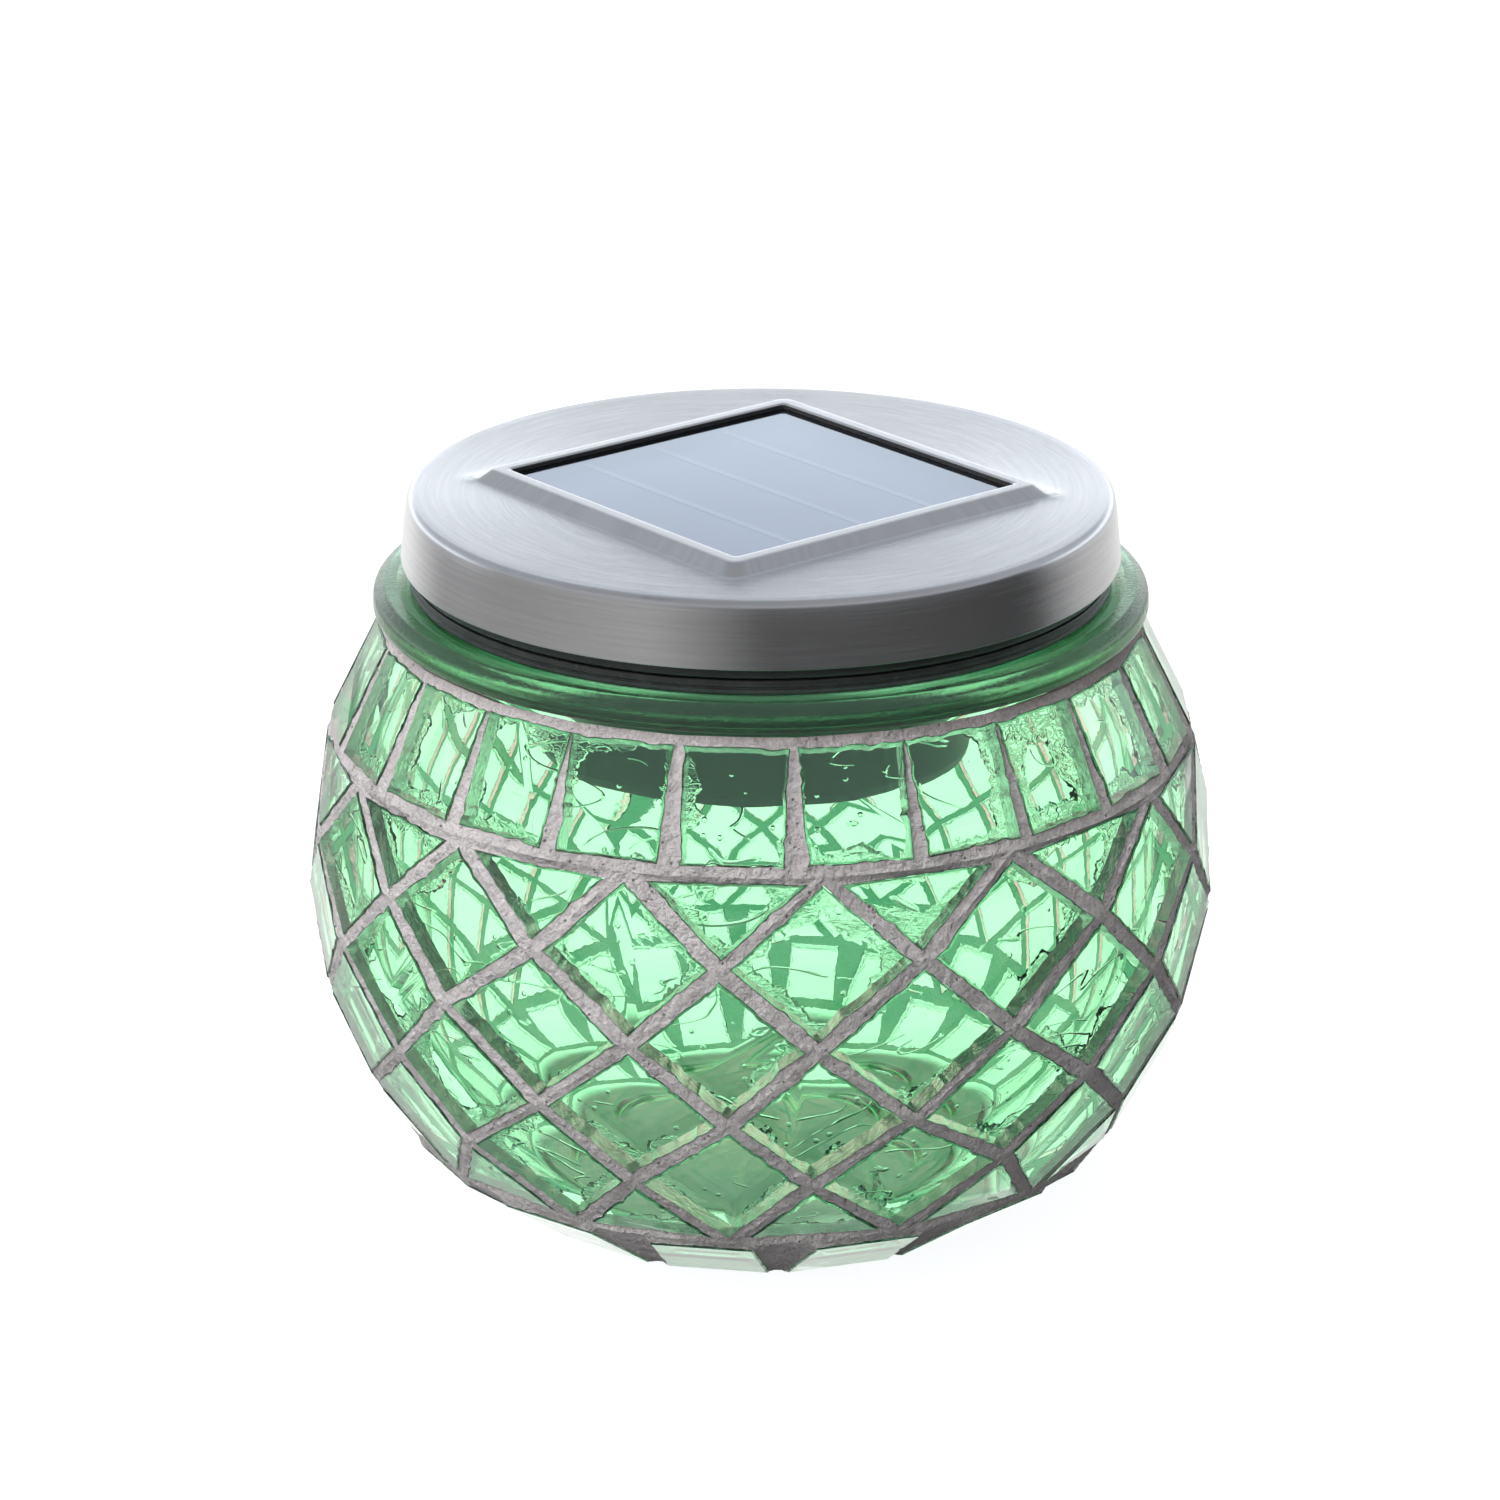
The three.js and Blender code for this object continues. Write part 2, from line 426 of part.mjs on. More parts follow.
// ------------------------------------------------------- electronics cup
const [LX, LY] = LAMP, [SX, SY] = SWITCH;
{
  const inR = CUP_R - CUP_WALL, zi = CUP_BOTTOM + CUP_FLOOR;
  const body = turned([
    [0, CUP_BOTTOM], [CUP_R - 1.0, CUP_BOTTOM], [CUP_R, CUP_BOTTOM + 1.0], [CUP_R, 86.9], [35.6, 86.9],
    [35.6, CUP_TOP], [inR, CUP_TOP], [inR, zi], [0, zi]]);
  const posts = BOARD_POSTS.map(([x, y]) => solid(disc(x, y, 2.4, zi - 0.5, BOARD_Z - 0.1, 12)));
  const boss = solid(disc(...COVER.screw, 2.7, zi - 0.5, 69.0, 12));
  // holders for the two contact plates, and side rails for the cell
  const keeps = [
    block(-20.9, -19.2, 3.2, 10.8, zi - 0.5, 71.5), block(15.95, 16.9, 3.2, 10.8, zi - 0.5, 71.5),
    block(-13, 13, CELL_Y - 7.0, CELL_Y - 6.0, zi - 0.5, 67.5), block(-13, 13, CELL_Y + 6.0, CELL_Y + 7.0, zi - 0.5, 67.5)].map(solid);
  piece(lid, 'electronics_cup', cut(
    join(solid(body), posts, boss, keeps),
    solid(block(COVER.x0 - 0.3, COVER.x1 + 0.3, COVER.y0 - 0.3, COVER.y1 + 0.3, 59, CUP_BOTTOM + 1.35)),
    solid(block(-15.6, 15.7, CELL_Y - 5.7, CELL_Y + 5.7, 59, 63.5)),
    solid(disc(LX, LY, 2.95, 59, 63, 20)),
    solid(block(SX - 1.5, SX + 1.5 + SWITCH_TRAVEL, SY - 1.3, SY + 1.3, 59, 63)),
    solid(disc(...COVER.screw, 1.4, 59, 68.0, 10)),
    BOARD_POSTS.map(([x, y]) => solid(disc(x, y, 1.2, 62.5, 68, 8))),
    HOUSING_SCREWS.map(([x, y]) => solid(disc(x, y, 1.4, 86, 89, 10)))), 0x17181a, 0.45, 0);
}

// Pan-head screw: axis +Z through (x, y), head's bearing face at z, head on
// the side `side` (-1 below, +1 above).
function screw(x, y, z, side, headR, headH, shankR, length) {
  const head = disc(0, 0, headR, 0, headH, 12), shank = disc(0, 0, shankR, -length, 0.2, 6);
  const s = shape(cut(join(solid(head), solid(shank)), solid(block(-headR * 0.62, headR * 0.62, -0.3, 0.3, headH - 0.55, headH + 1))));
  if (side < 0) s.rotateX(Math.PI);
  return s.translate(x, y, z);
}
HOUSING_SCREWS.forEach(([x, y], i) =>
  piece(lid, `housing_screw_${i + 1}`, screw(x, y, 86.8, -1, 2.4, 1.5, 1.1, 3.9), 0xa9aaac, 0.35, 1));

// ---------------------------------------------------------- circuit board
{
  const R = 25.6, y1 = -0.9, a = Math.acos(-y1 / R), s = new THREE.Shape();
  s.moveTo(-R * Math.sin(a), y1);
  s.absarc(0, 0, R, -Math.PI / 2 - a, -Math.PI / 2 + a, false);
  s.lineTo(-R * Math.sin(a), y1);
  const g = new THREE.ExtrudeGeometry(s, { depth: BOARD_T, bevelEnabled: false, curveSegments: 20 }).translate(0, 0, BOARD_Z);
  piece(lid, 'circuit_board', cut(solid(g),
    BOARD_POSTS.map(([x, y]) => solid(disc(x, y, 1.4, 65, 68, 8))),
    [-1.27, 1.27].map((dx) => solid(block(LX + dx - 0.6, LX + dx + 0.6, LY - 0.6, LY + 0.6, 65, 68)))), 0x1f5a35, 0.5, 0);
}
const BOARD_TOP = BOARD_Z + BOARD_T;
BOARD_POSTS.forEach(([x, y], i) =>
  piece(lid, `board_screw_${i + 1}`, screw(x, y, BOARD_TOP + 0.1, 1, 2.0, 1.3, 0.85, 4.2), 0xa9aaac, 0.35, 1));

// 5 mm lamp, dome down through the cup's floor, with its two leads
piece(lid, 'led_lamp', join(
  solid(turned([[0, 57.2], [1.25, 57.55], [2.15, 58.5], [2.5, 59.8], [2.5, 64.7], [2.85, 64.7], [2.85, 65.75], [0, 65.75]], 20).translate(LX, LY, 0)),
  [-1.27, 1.27].map((dx) => solid(block(LX + dx - 0.25, LX + dx + 0.25, LY - 0.25, LY + 0.25, 65.5, 68.3)))), 0xf2f4ef, 0.1, 0);

// driver chip and choke on top of the board
piece(lid, 'driver_chip', join(solid(block(4, 9.2, -13.6, -9.6, BOARD_TOP + 0.35, BOARD_TOP + 1.95)),
  [5, 6.9, 8.2].map((x) => solid(block(x - 0.25, x + 0.25, -14.9, -8.3, BOARD_TOP + 0.08, BOARD_TOP + 0.6)))), 0x1b1b1d, 0.5, 0);
piece(lid, 'choke_coil', join(
  solid(turned([[0, -4.2], [1.6, -4.2], [2.05, -3.4], [1.7, -2.6], [1.7, 2.6], [2.05, 3.4], [1.6, 4.2], [0, 4.2]], 12).rotateY(Math.PI / 2).translate(8.5, -18.2, BOARD_TOP + 2.2)),
  solid(block(2.6, 4.6, -18.5, -17.9, BOARD_TOP + 1.9, BOARD_TOP + 2.5)), solid(block(12.4, 14.2, -18.5, -17.9, BOARD_TOP + 1.9, BOARD_TOP + 2.5)),
  solid(block(2.6, 3.2, -18.5, -17.9, BOARD_TOP + 0.08, BOARD_TOP + 2.5)), solid(block(13.6, 14.2, -18.5, -17.9, BOARD_TOP + 0.08, BOARD_TOP + 2.5))), 0x4c7a5a, 0.5, 0);

// slide switch under the board; the knob runs in the slot of the cup's floor
piece(lid, 'switch_body', cut(solid(block(SX - 3.8, SX + 5.8, SY - 2.4, SY + 2.4, 62.55, BOARD_Z - 0.1)),
  solid(block(SX - 2.1, SX + 2.1 + SWITCH_TRAVEL, SY - 1.5, SY + 1.5, 61, 64.6))), 0xb8b9ba, 0.4, 0.8);
const knob = new THREE.Group();
knob.position.set(SX, SY, 0);
root.add(knob);
piece(knob, 'switch_knob', join(
  solid(block(-1.1, 1.1, -0.95, 0.95, 59.0, 63.6)), solid(block(-1.75, 1.75, -1.2, 1.2, 63.0, 64.3)),
  [-0.7, 0, 0.7].map((x) => solid(block(x - 0.15, x + 0.15, -0.95, 0.95, 58.75, 59.2)))), 0x101011, 0.5, 0);

// ---------------------------------------------------------- cell and contacts
const battery = new THREE.Group();
root.add(battery);
piece(battery, 'battery_cell', turned([
  [0, -CELL_L / 2], [4.2, -CELL_L / 2], [4.6, -CELL_L / 2 + 0.25], [CELL_R, -CELL_L / 2 + 0.5], [CELL_R, CELL_L / 2 - 1.6], [4.7, CELL_L / 2 - 1.1],
  [4.2, CELL_L / 2 - 0.9], [1.8, CELL_L / 2 - 0.9], [1.6, CELL_L / 2], [0, CELL_L / 2]], 24).rotateY(Math.PI / 2).translate(0, CELL_Y, CELL_Z), 0x3f8f4e, 0.35, 0.1);
piece(lid, 'contact_plate_positive', join(
  solid(block(15.25, 15.65, CELL_Y - 3.5, CELL_Y + 3.5, 63.8, 71.0)),
  solid(block(15.25, 15.65, CELL_Y - 1, CELL_Y + 1, 70.5, 74.0))), 0xcfd0cf, 0.3, 1);
{
  const helix = [], x0 = -18.3, turns = 2.6;
  for (let i = 0; i <= 40; i++) {
    const t = i / 40, a = t * turns * 2 * Math.PI, r = 3.3 - 1.2 * t;
    helix.push([x0 - 0.25 + 3.1 * t, CELL_Y + r * Math.cos(a), CELL_Z + r * Math.sin(a)]);
  }
  piece(lid, 'contact_spring_negative', join(
    solid(block(-18.95, -18.5, CELL_Y - 3.5, CELL_Y + 3.5, 63.8, 71.0)),
    solid(block(-18.95, -18.5, CELL_Y - 1, CELL_Y + 1, 70.5, 74.0)),
    solid(rod(helix, 0.36, 42, 3))), 0xcfd0cf, 0.3, 1);
}

// ---------------------------------------------------- battery cover and screw
const door = new THREE.Group();
root.add(door);
piece(door, 'battery_cover', cut(
  join(solid(block(COVER.x0, COVER.x1, COVER.y0, COVER.y1, CUP_BOTTOM + 0.05, CUP_BOTTOM + 1.25)),
    solid(block(-14.6, 14.6, CELL_Y - 5.2, CELL_Y - 4.2, CUP_BOTTOM + 1, CUP_BOTTOM + 2.2)),
    solid(block(-14.6, 14.6, CELL_Y + 4.2, CELL_Y + 5.2, CUP_BOTTOM + 1, CUP_BOTTOM + 2.2))),
  solid(disc(...COVER.screw, 1.4, 59, 62, 10)),
  solid(disc(...COVER.screw, 2.4, 59, CUP_BOTTOM + 0.65, 14)),
  [-1.1, 0, 1.1].map((x) => solid(block(-15 + x - 0.25, -15 + x + 0.25, CELL_Y - 3.2, CELL_Y + 3.2, 59, CUP_BOTTOM + 0.4)))), 0x1a1b1d, 0.5, 0);
piece(door, 'cover_screw', screw(...COVER.screw, CUP_BOTTOM + 0.62, -1, 2.1, 1.2, 1.1, 6.4), 0xa9aaac, 0.35, 1);

// -------------------------------------------------------------------- wires
const wire = (name, pts, color) => piece(lid, name, rod(pts, 0.55, 14, 3), color, 0.5, 0);
wire('panel_wire_red', [[1.8, 0.6, 90.8], [1.9, 0.4, 86], [5, -5, 80], [12, -10, 76], [14.5, -7.5, 70.5], [13.5, -6.0, 67.75]], 0xb31b1b);
wire('panel_wire_black', [[-1.8, -0.6, 90.8], [-1.9, -0.8, 86], [-4, -6, 81], [-9, -11, 76], [-11, -7.5, 71], [-10.5, -5.5, 67.75]], 0x18181a);
wire('cell_wire_red', [[15.45, 7, 74.3], [15.4, 6.2, 76.2], [13.5, 0, 77.5], [10.5, -4, 74], [9.5, -5.2, 67.75]], 0xb31b1b);
wire('cell_wire_black', [[-18.7, 7, 74.3], [-18.5, 6, 76.2], [-17.5, 0, 77.0], [-16.5, -4, 73], [-15.5, -5.5, 67.75]], 0x18181a);

export default root;
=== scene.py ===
# Looks for the mosaic glass solar lantern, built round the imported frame.
# Lengths inside the mesh code are millimetres; obj() turns them into metres.
import math
import bpy
import bmesh
import numpy as np
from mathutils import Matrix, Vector, noise

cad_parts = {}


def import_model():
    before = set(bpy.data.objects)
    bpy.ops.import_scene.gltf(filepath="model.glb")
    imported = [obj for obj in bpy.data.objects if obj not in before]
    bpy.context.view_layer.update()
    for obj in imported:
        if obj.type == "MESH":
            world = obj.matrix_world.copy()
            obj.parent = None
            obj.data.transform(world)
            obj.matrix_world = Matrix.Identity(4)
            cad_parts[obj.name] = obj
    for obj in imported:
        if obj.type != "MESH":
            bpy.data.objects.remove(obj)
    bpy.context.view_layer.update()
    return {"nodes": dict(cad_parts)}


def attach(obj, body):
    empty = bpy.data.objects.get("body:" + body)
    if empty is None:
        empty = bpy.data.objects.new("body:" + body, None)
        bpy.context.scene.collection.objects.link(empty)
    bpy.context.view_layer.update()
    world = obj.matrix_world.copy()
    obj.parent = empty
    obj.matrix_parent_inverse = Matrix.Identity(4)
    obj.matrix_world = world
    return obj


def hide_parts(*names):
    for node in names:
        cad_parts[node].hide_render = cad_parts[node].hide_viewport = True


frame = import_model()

NODES = frame["nodes"]
SCENE = bpy.context.scene
MM = 0.001
sin, cos, pi = math.sin, math.cos, math.pi

# ------------------------------------------------------------------ dimensions
BODY = [(4.5, 47.40, 77.75), (9.0, 49.26, 73.77), (13.5, 51.23, 69.71), (18.0, 53.31, 65.72),
        (22.5, 55.30, 61.61), (27.0, 56.55, 57.16), (31.5, 57.21, 52.61), (36.0, 57.59, 48.08),
        (40.5, 57.81, 43.56), (45.0, 57.85, 38.99), (49.5, 57.36, 34.41), (54.0, 56.29, 29.97),
        (58.5, 54.84, 25.61), (63.0, 53.07, 21.42), (67.5, 51.08, 17.32), (72.0, 48.82, 13.32),
        (76.5, 46.11, 9.57), (81.0, 42.84, 6.30), (85.5, 39.20, 3.65), (90.0, 35.40, 1.30), (93.1, 32.70, 0.02)]
JAR_SINK = [(4.5, 3.35), (16, 3.4), (20.5, 4.45), (31.5, 4.35), (63, 4.25), (76.5, 4.05), (93.1, 4.05)]
GLASS_WALL, PROUD, JOINT, TILE_GAP = 2.7, 0.35, 0.85, 0.15
TAPER = 0.42                # how much the tiles' nipped edges lean in by the time they reach the jar
ARC = dict(top=5.05, a=21.6, b=32.4, c=42.75, d=53.1, e=63.2, f=74.7, foot=92.3)
R1 = dict(top=6.3, bottom=20.4, width=12.35)
R2 = dict(top=76.1, bottom=91.1, width=13.5)
PANEL_TURN = 39.5
LX, LY, SX, SY, SWITCH_TRAVEL = 0.0, -9.5, -14.5, -11.0, 2.0
CELL_Y, CELL_L, CELL_R, CELL_Z = 7.0, 29.5, 5.2, 66.75
BOARD_POSTS = [(15.5, -14.0), (-6.5, -20.5)]
COVER = (-18.0, 22.0, 0.4, 13.6)
COVER_SCREW = (19.2, 7.0)
HOUSING_SCREWS = [(31.8 * cos(math.radians(PANEL_TURN + 90 * k)), 31.8 * sin(math.radians(PANEL_TURN + 90 * k))) for k in range(4)]


# ------------------------------------------------------------------ materials
def add(tree, kind, inputs=None, **props):
    node = tree.nodes.new(kind)
    for k, v in props.items():
        setattr(node, k, v)
    for k, v in (inputs or {}).items():
        s = node.inputs[k]
        if isinstance(v, bpy.types.NodeSocket):
            tree.links.new(v, s)
        elif isinstance(v, (tuple, list)) and len(v) == 3 and s.type == "RGBA":
            s.default_value = (*v, 1.0)
        else:
            s.default_value = v
    return node


class Graph:
    """Short hands for a node tree."""
    def __init__(self, tree):
        self.t = tree
        tree.nodes.clear()

    def __call__(self, kind, inputs=None, **props):
        return add(self.t, kind, inputs, **props)

    def m(self, op, *a, clamp=False):
        return add(self.t, "ShaderNodeMath", dict(enumerate(a)), operation=op, use_clamp=clamp).outputs[0]

    def vm(self, op, a, b=(0, 0, 0), out=0):
        return add(self.t, "ShaderNodeVectorMath", {0: a, 1: b}, operation=op).outputs[out]

    def scale(self, v, k):
        n = add(self.t, "ShaderNodeVectorMath", {0: v}, operation="SCALE")
        n.inputs[3].default_value = k
        return n.outputs[0]

    def noise(self, vec, scale, detail=2.0, rough=0.5, distort=0.0, out="Fac"):
        return add(self.t, "ShaderNodeTexNoise", {"Vector": vec, "Scale": scale, "Detail": detail, "Roughness": rough, "Distortion": distort}).outputs[out]

    def smooth(self, x, lo, hi, a=0.0, b=1.0):
        return add(self.t, "ShaderNodeMapRange", {0: x, 1: lo, 2: hi, 3: a, 4: b}, interpolation_type="SMOOTHSTEP").outputs[0]

    def lin(self, x, lo, hi, a=0.0, b=1.0):
        return add(self.t, "ShaderNodeMapRange", {0: x, 1: lo, 2: hi, 3: a, 4: b}).outputs[0]

    def mix(self, f, a, b, blend="MIX"):
        n = add(self.t, "ShaderNodeMix", None, data_type="RGBA", blend_type=blend)
        for s, v in ((n.inputs[0], f), (n.inputs[6], a), (n.inputs[7], b)):
            if isinstance(v, bpy.types.NodeSocket):
                self.t.links.new(v, s)
            elif isinstance(v, (tuple, list)):
                s.default_value = (*v, 1.0) if len(v) == 3 else v
            else:
                s.default_value = v
        return n.outputs[2]

    def ramp(self, x, stops, mode="LINEAR"):
        n = add(self.t, "ShaderNodeValToRGB", {0: x})
        n.color_ramp.interpolation = mode
        e = n.color_ramp.elements
        while len(e) > 1:
            e.remove(e[-1])
        for i, (p, c) in enumerate(stops):
            s = e[0] if i == 0 else e.new(p)
            s.position = p
            s.color = (*c, 1.0) if isinstance(c, (tuple, list)) else (c, c, c, 1.0)
        return n.outputs[0]

    def mm(self):
        """Object position in millimetres."""
        return self.scale(self("ShaderNodeTexCoord").outputs["Object"], 1000.0)

    def bump(self, height, strength=1.0, distance=0.0001, normal=None):
        i = {"Height": height, "Strength": strength, "Distance": distance}
        if normal is not None:
            i["Normal"] = normal
        return add(self.t, "ShaderNodeBump", i).outputs[0]


def srgb(r, g, b):
    f = lambda c: c / 255 / 12.92 if c / 255 <= 0.04045 else ((c / 255 + 0.055) / 1.055) ** 2.4
    return (f(r), f(g), f(b))


def material(name, build):
    mat = bpy.data.materials.new(name)
    mat.use_nodes = True
    g = Graph(mat.node_tree)
    out = g("ShaderNodeOutputMaterial")
    shader = build(g)
    if isinstance(shader, tuple):
        shader, inside = shader
        mat.node_tree.links.new(inside, out.inputs["Volume"])
    mat.node_tree.links.new(shader, out.inputs["Surface"])
    return mat


def principled(g, **kw):
    names = dict(color="Base Color", metal="Metallic", rough="Roughness", ior="IOR", normal="Normal", trans="Transmission Weight",
                 aniso="Anisotropic", arot="Anisotropic Rotation", tangent="Tangent", coat="Coat Weight", coat_rough="Coat Roughness",
                 spec="Specular IOR Level", spec_tint="Specular Tint", sheen="Sheen Weight", alpha="Alpha",
                 emit="Emission Color", emit_s="Emission Strength", sss="Subsurface Weight", sss_scale="Subsurface Scale")
    return g("ShaderNodeBsdfPrincipled", {names[k]: v for k, v in kw.items()}).outputs[0]


JAR_TINT = (0.58, 0.85, 0.64)          # what one 2.7 mm wall lets through


def mat_jar(g):
    p = g.mm()
    z = g("ShaderNodeSeparateXYZ", {0: p}).outputs[2]
    wavy = g.noise(p, 0.05, 2, 0.5)
    ripple = g.noise(p, 0.35, 3, 0.6)
    rim = g.smooth(z, 76.9, 78.0)
    speck = g.noise(p, 2.2, 3, 0.65)
    rough = g.m("MULTIPLY", rim, g.lin(g.noise(p, 1.1, 2), 0.35, 0.65, 0.10, 0.24))
    n = g.bump(g.m("ADD", g.m("MULTIPLY", wavy, 2.0), g.m("MULTIPLY", ripple, 0.08)), 0.3, 0.0002)
    n = g.bump(g.m("MULTIPLY", rim, speck), 0.45, 0.00012, n)
    # the green is in the glass itself, so thick places are deeper
    per_m = [-0.5 * math.log(t) / (GLASS_WALL * MM) for t in JAR_TINT]
    inside = g("ShaderNodeVolumeAbsorption", {"Color": tuple(1 - k / 120.0 for k in per_m), "Density": 120.0}).outputs[0]
    bonded = g("ShaderNodeAttribute", attribute_name="bonded").outputs["Fac"]      # 1 where tiles are glued on
    col = g.mix(rim, tuple(math.sqrt(t) for t in JAR_TINT), (0.56, 0.63, 0.62))
    return principled(g, color=col, trans=g.lin(rim, 0.0, 1.0, 1.0, 0.95), ior=g.lin(bonded, 0.0, 1.0, 1.46, 1.168), spec=g.lin(rim, 0.0, 1.0, 0.35, 0.65), rough=rough, normal=n), inside


def mat_tile(g):
    """Cut clear glass: flat polished face, faintly wavy."""
    p = g.mm()
    n = g.bump(g.noise(p, 0.09, 1, 0.5), 0.3, 0.0004)
    n = g.bump(g.noise(p, 0.9, 2, 0.5), 0.05, 0.00005, n)
    dirt = g.smooth(g.noise(p, 0.6, 3), 0.55, 0.8, 0.0, 0.06)
    return principled(g, color=(0.955, 0.985, 0.965), trans=1.0, ior=1.5, spec=0.38, rough=dirt, normal=n)


def mat_tile_side(g):
    """Nipped edge of a tile, coloured dark green as painted shade where it meets the grout."""
    p = g.mm()
    n = g.bump(g.noise(p, 1.4, 3, 0.6), 0.5, 0.0003)
    return principled(g, color=(0.24, 0.50, 0.34), trans=1.0, ior=1.5, spec=0.4, rough=0.2, normal=n)


def mat_tile_back(g):
    """Where the tile meets its glue: wrinkles and bubbles gather towards the edges."""
    p = g.mm()
    edge = g("ShaderNodeAttribute", attribute_name="edge").outputs["Fac"]      # mm from the tile's edge
    some = g("ShaderNodeAttribute", attribute_name="glue").outputs["Fac"]      # 0..1, how starved the glue is
    big = g.noise(p, 0.10, 2, 0.5)
    reach = g.m("ADD", g.m("MULTIPLY", some, 3.2), g.m("MULTIPLY", g.m("SUBTRACT", big, 0.60), 9.0))
    ragged = g.m("ADD", edge, g.m("MULTIPLY", g.m("SUBTRACT", g.noise(p, 0.30, 3, 0.6), 0.5), 4.0))
    gap = g.m("SUBTRACT", ragged, reach)
    void = g.smooth(gap, -0.16, 0.16, 1.0, 0.0)                               # 1 where glue is missing
    lip = g.smooth(g.m("ABSOLUTE", gap), 0.0, 0.30, 1.0, 0.0)
    wq = g.vm("MULTIPLY", p, (1.0, 1.0, 2.2))
    fold = g.m("ABSOLUTE", g.m("SUBTRACT", g.noise(wq, 0.26, 2, 0.5, 1.2), 0.5))
    fold = g.smooth(fold, 0.0, 0.045, 1.0, 0.0)
    fine = g.m("ABSOLUTE", g.m("SUBTRACT", g.noise(wq, 0.62, 2, 0.6, 1.8), 0.5))
    fine = g.smooth(fine, 0.0, 0.07, 1.0, 0.0)
    stroke = g.m("ABSOLUTE", g.m("SUBTRACT", g.noise(g.vm("MULTIPLY", p, (1.0, 1.0, 2.6)), 0.055, 1, 0.5, 0.6), 0.5))
    stroke = g.m("MULTIPLY", g.smooth(stroke, 0.0, 0.010, 1.0, 0.0), g.smooth(g.noise(p, 0.12, 2), 0.50, 0.58))
    vor = g("ShaderNodeTexVoronoi", {"Vector": p, "Scale": 0.62}, feature="F1").outputs
    rare = g("ShaderNodeSeparateColor", {0: vor["Color"]}).outputs[0]
    bubble = g.m("MULTIPLY", g.smooth(vor["Distance"], 0.13, 0.24, 1.0, 0.0), g.smooth(rare, 0.80, 0.82))
    h = g.m("ADD", g.m("MULTIPLY", void, 0.7), g.m("MULTIPLY", lip, 0.5))
    h = g.m("ADD", h, g.m("MULTIPLY", g.m("MULTIPLY", void, fold), 0.7))
    h = g.m("ADD", h, g.m("MULTIPLY", g.m("MULTIPLY", void, fine), g.m("MULTIPLY", some, 0.22)))
    h = g.m("ADD", h, g.m("MULTIPLY", bubble, 0.7))
    h = g.m("ADD", h, g.m("MULTIPLY", stroke, 0.8))
    n = g.bump(h, 1.0, 0.00046)
    # glue fills the joint, so light hardly bends here except at folds and bubbles
    return principled(g, color=(0.975, 0.99, 0.98), trans=1.0, ior=1.2, spec=0.45, rough=0.0, normal=n)


def mat_grout(g):
    p = g.mm()
    z = g("ShaderNodeSeparateXYZ", {0: p}).outputs[2]
    a = g.noise(p, 0.12, 3, 0.6)
    b = g.noise(p, 1.6, 4, 0.65)
    sand = g.noise(p, 6.5, 3, 0.7)
    pits = g("ShaderNodeTexVoronoi", {"Vector": p, "Scale": 1.1}, feature="F1").outputs["Distance"]
    pit = g.m("MULTIPLY", g.smooth(pits, 0.05, 0.28, 1.0, 0.0), g.smooth(g.noise(p, 0.5, 2), 0.5, 0.62))
    col = g.mix(g.smooth(a, 0.35, 0.65), (0.43, 0.41, 0.41), (0.54, 0.515, 0.515))
    col = g.mix(g.smooth(b, 0.3, 0.7, 0.0, 0.55), col, (0.30, 0.265, 0.27))
    col = g.mix(g.smooth(sand, 0.55, 0.75, 0.0, 0.5), col, (0.66, 0.63, 0.63))
    # painted shade: the pits are painted dark where the bump below sinks them
    col = g.mix(g.m("MULTIPLY", pit, 0.7), col, (0.14, 0.12, 0.12))
    h = g.m("ADD", g.m("MULTIPLY", b, 1.0), g.m("MULTIPLY", sand, 0.22))
    h = g.m("ADD", h, g.m("MULTIPLY", g.noise(p, 0.7, 2, 0.5), 1.2))
    h = g.m("SUBTRACT", h, g.m("MULTIPLY", pit, 0.6))
    # painted glow: the side towards the jar gives off green light on rays seen through the glass, in place of the green
    # light inside the jar
    q = g("ShaderNodeSeparateXYZ", {0: p}).outputs
    out = g.vm("NORMALIZE", g("ShaderNodeCombineXYZ", {0: q[0], 1: q[1], 2: 0.0}).outputs[0])
    facing = g.vm("DOT_PRODUCT", g("ShaderNodeNewGeometry").outputs["True Normal"], out, "Value")
    inner = g.m("MULTIPLY", g.smooth(g.m("MULTIPLY", facing, -1.0), 0.15, 0.5), g("ShaderNodeLightPath").outputs["Is Transmission Ray"])
    return principled(g, color=col, rough=0.95, spec=0.2, normal=g.bump(h, 1.0, 0.00075), emit=(0.22, 0.54, 0.38, 1.0), emit_s=inner)


def ring_coords(g, a, b):
    """Coordinates that stretch round the axis: long grain round it, fine across."""
    p = g.mm()
    s = g("ShaderNodeSeparateXYZ", {0: p})
    r = g.m("SQRT", g.m("ADD", g.m("POWER", s.outputs[0], 2.0), g.m("POWER", s.outputs[1], 2.0)))
    k = g.m("DIVIDE", a, g.m("MAXIMUM", r, 0.001))
    x = g.m("MULTIPLY", s.outputs[0], k)
    y = g.m("MULTIPLY", s.outputs[1], k)
    c = g.m("MULTIPLY", g.m("ADD", r, g.m("MULTIPLY", s.outputs[2], 1.3)), b)
    return g("ShaderNodeCombineXYZ", {0: x, 1: y, 2: c}).outputs[0], p, r, s.outputs[2]


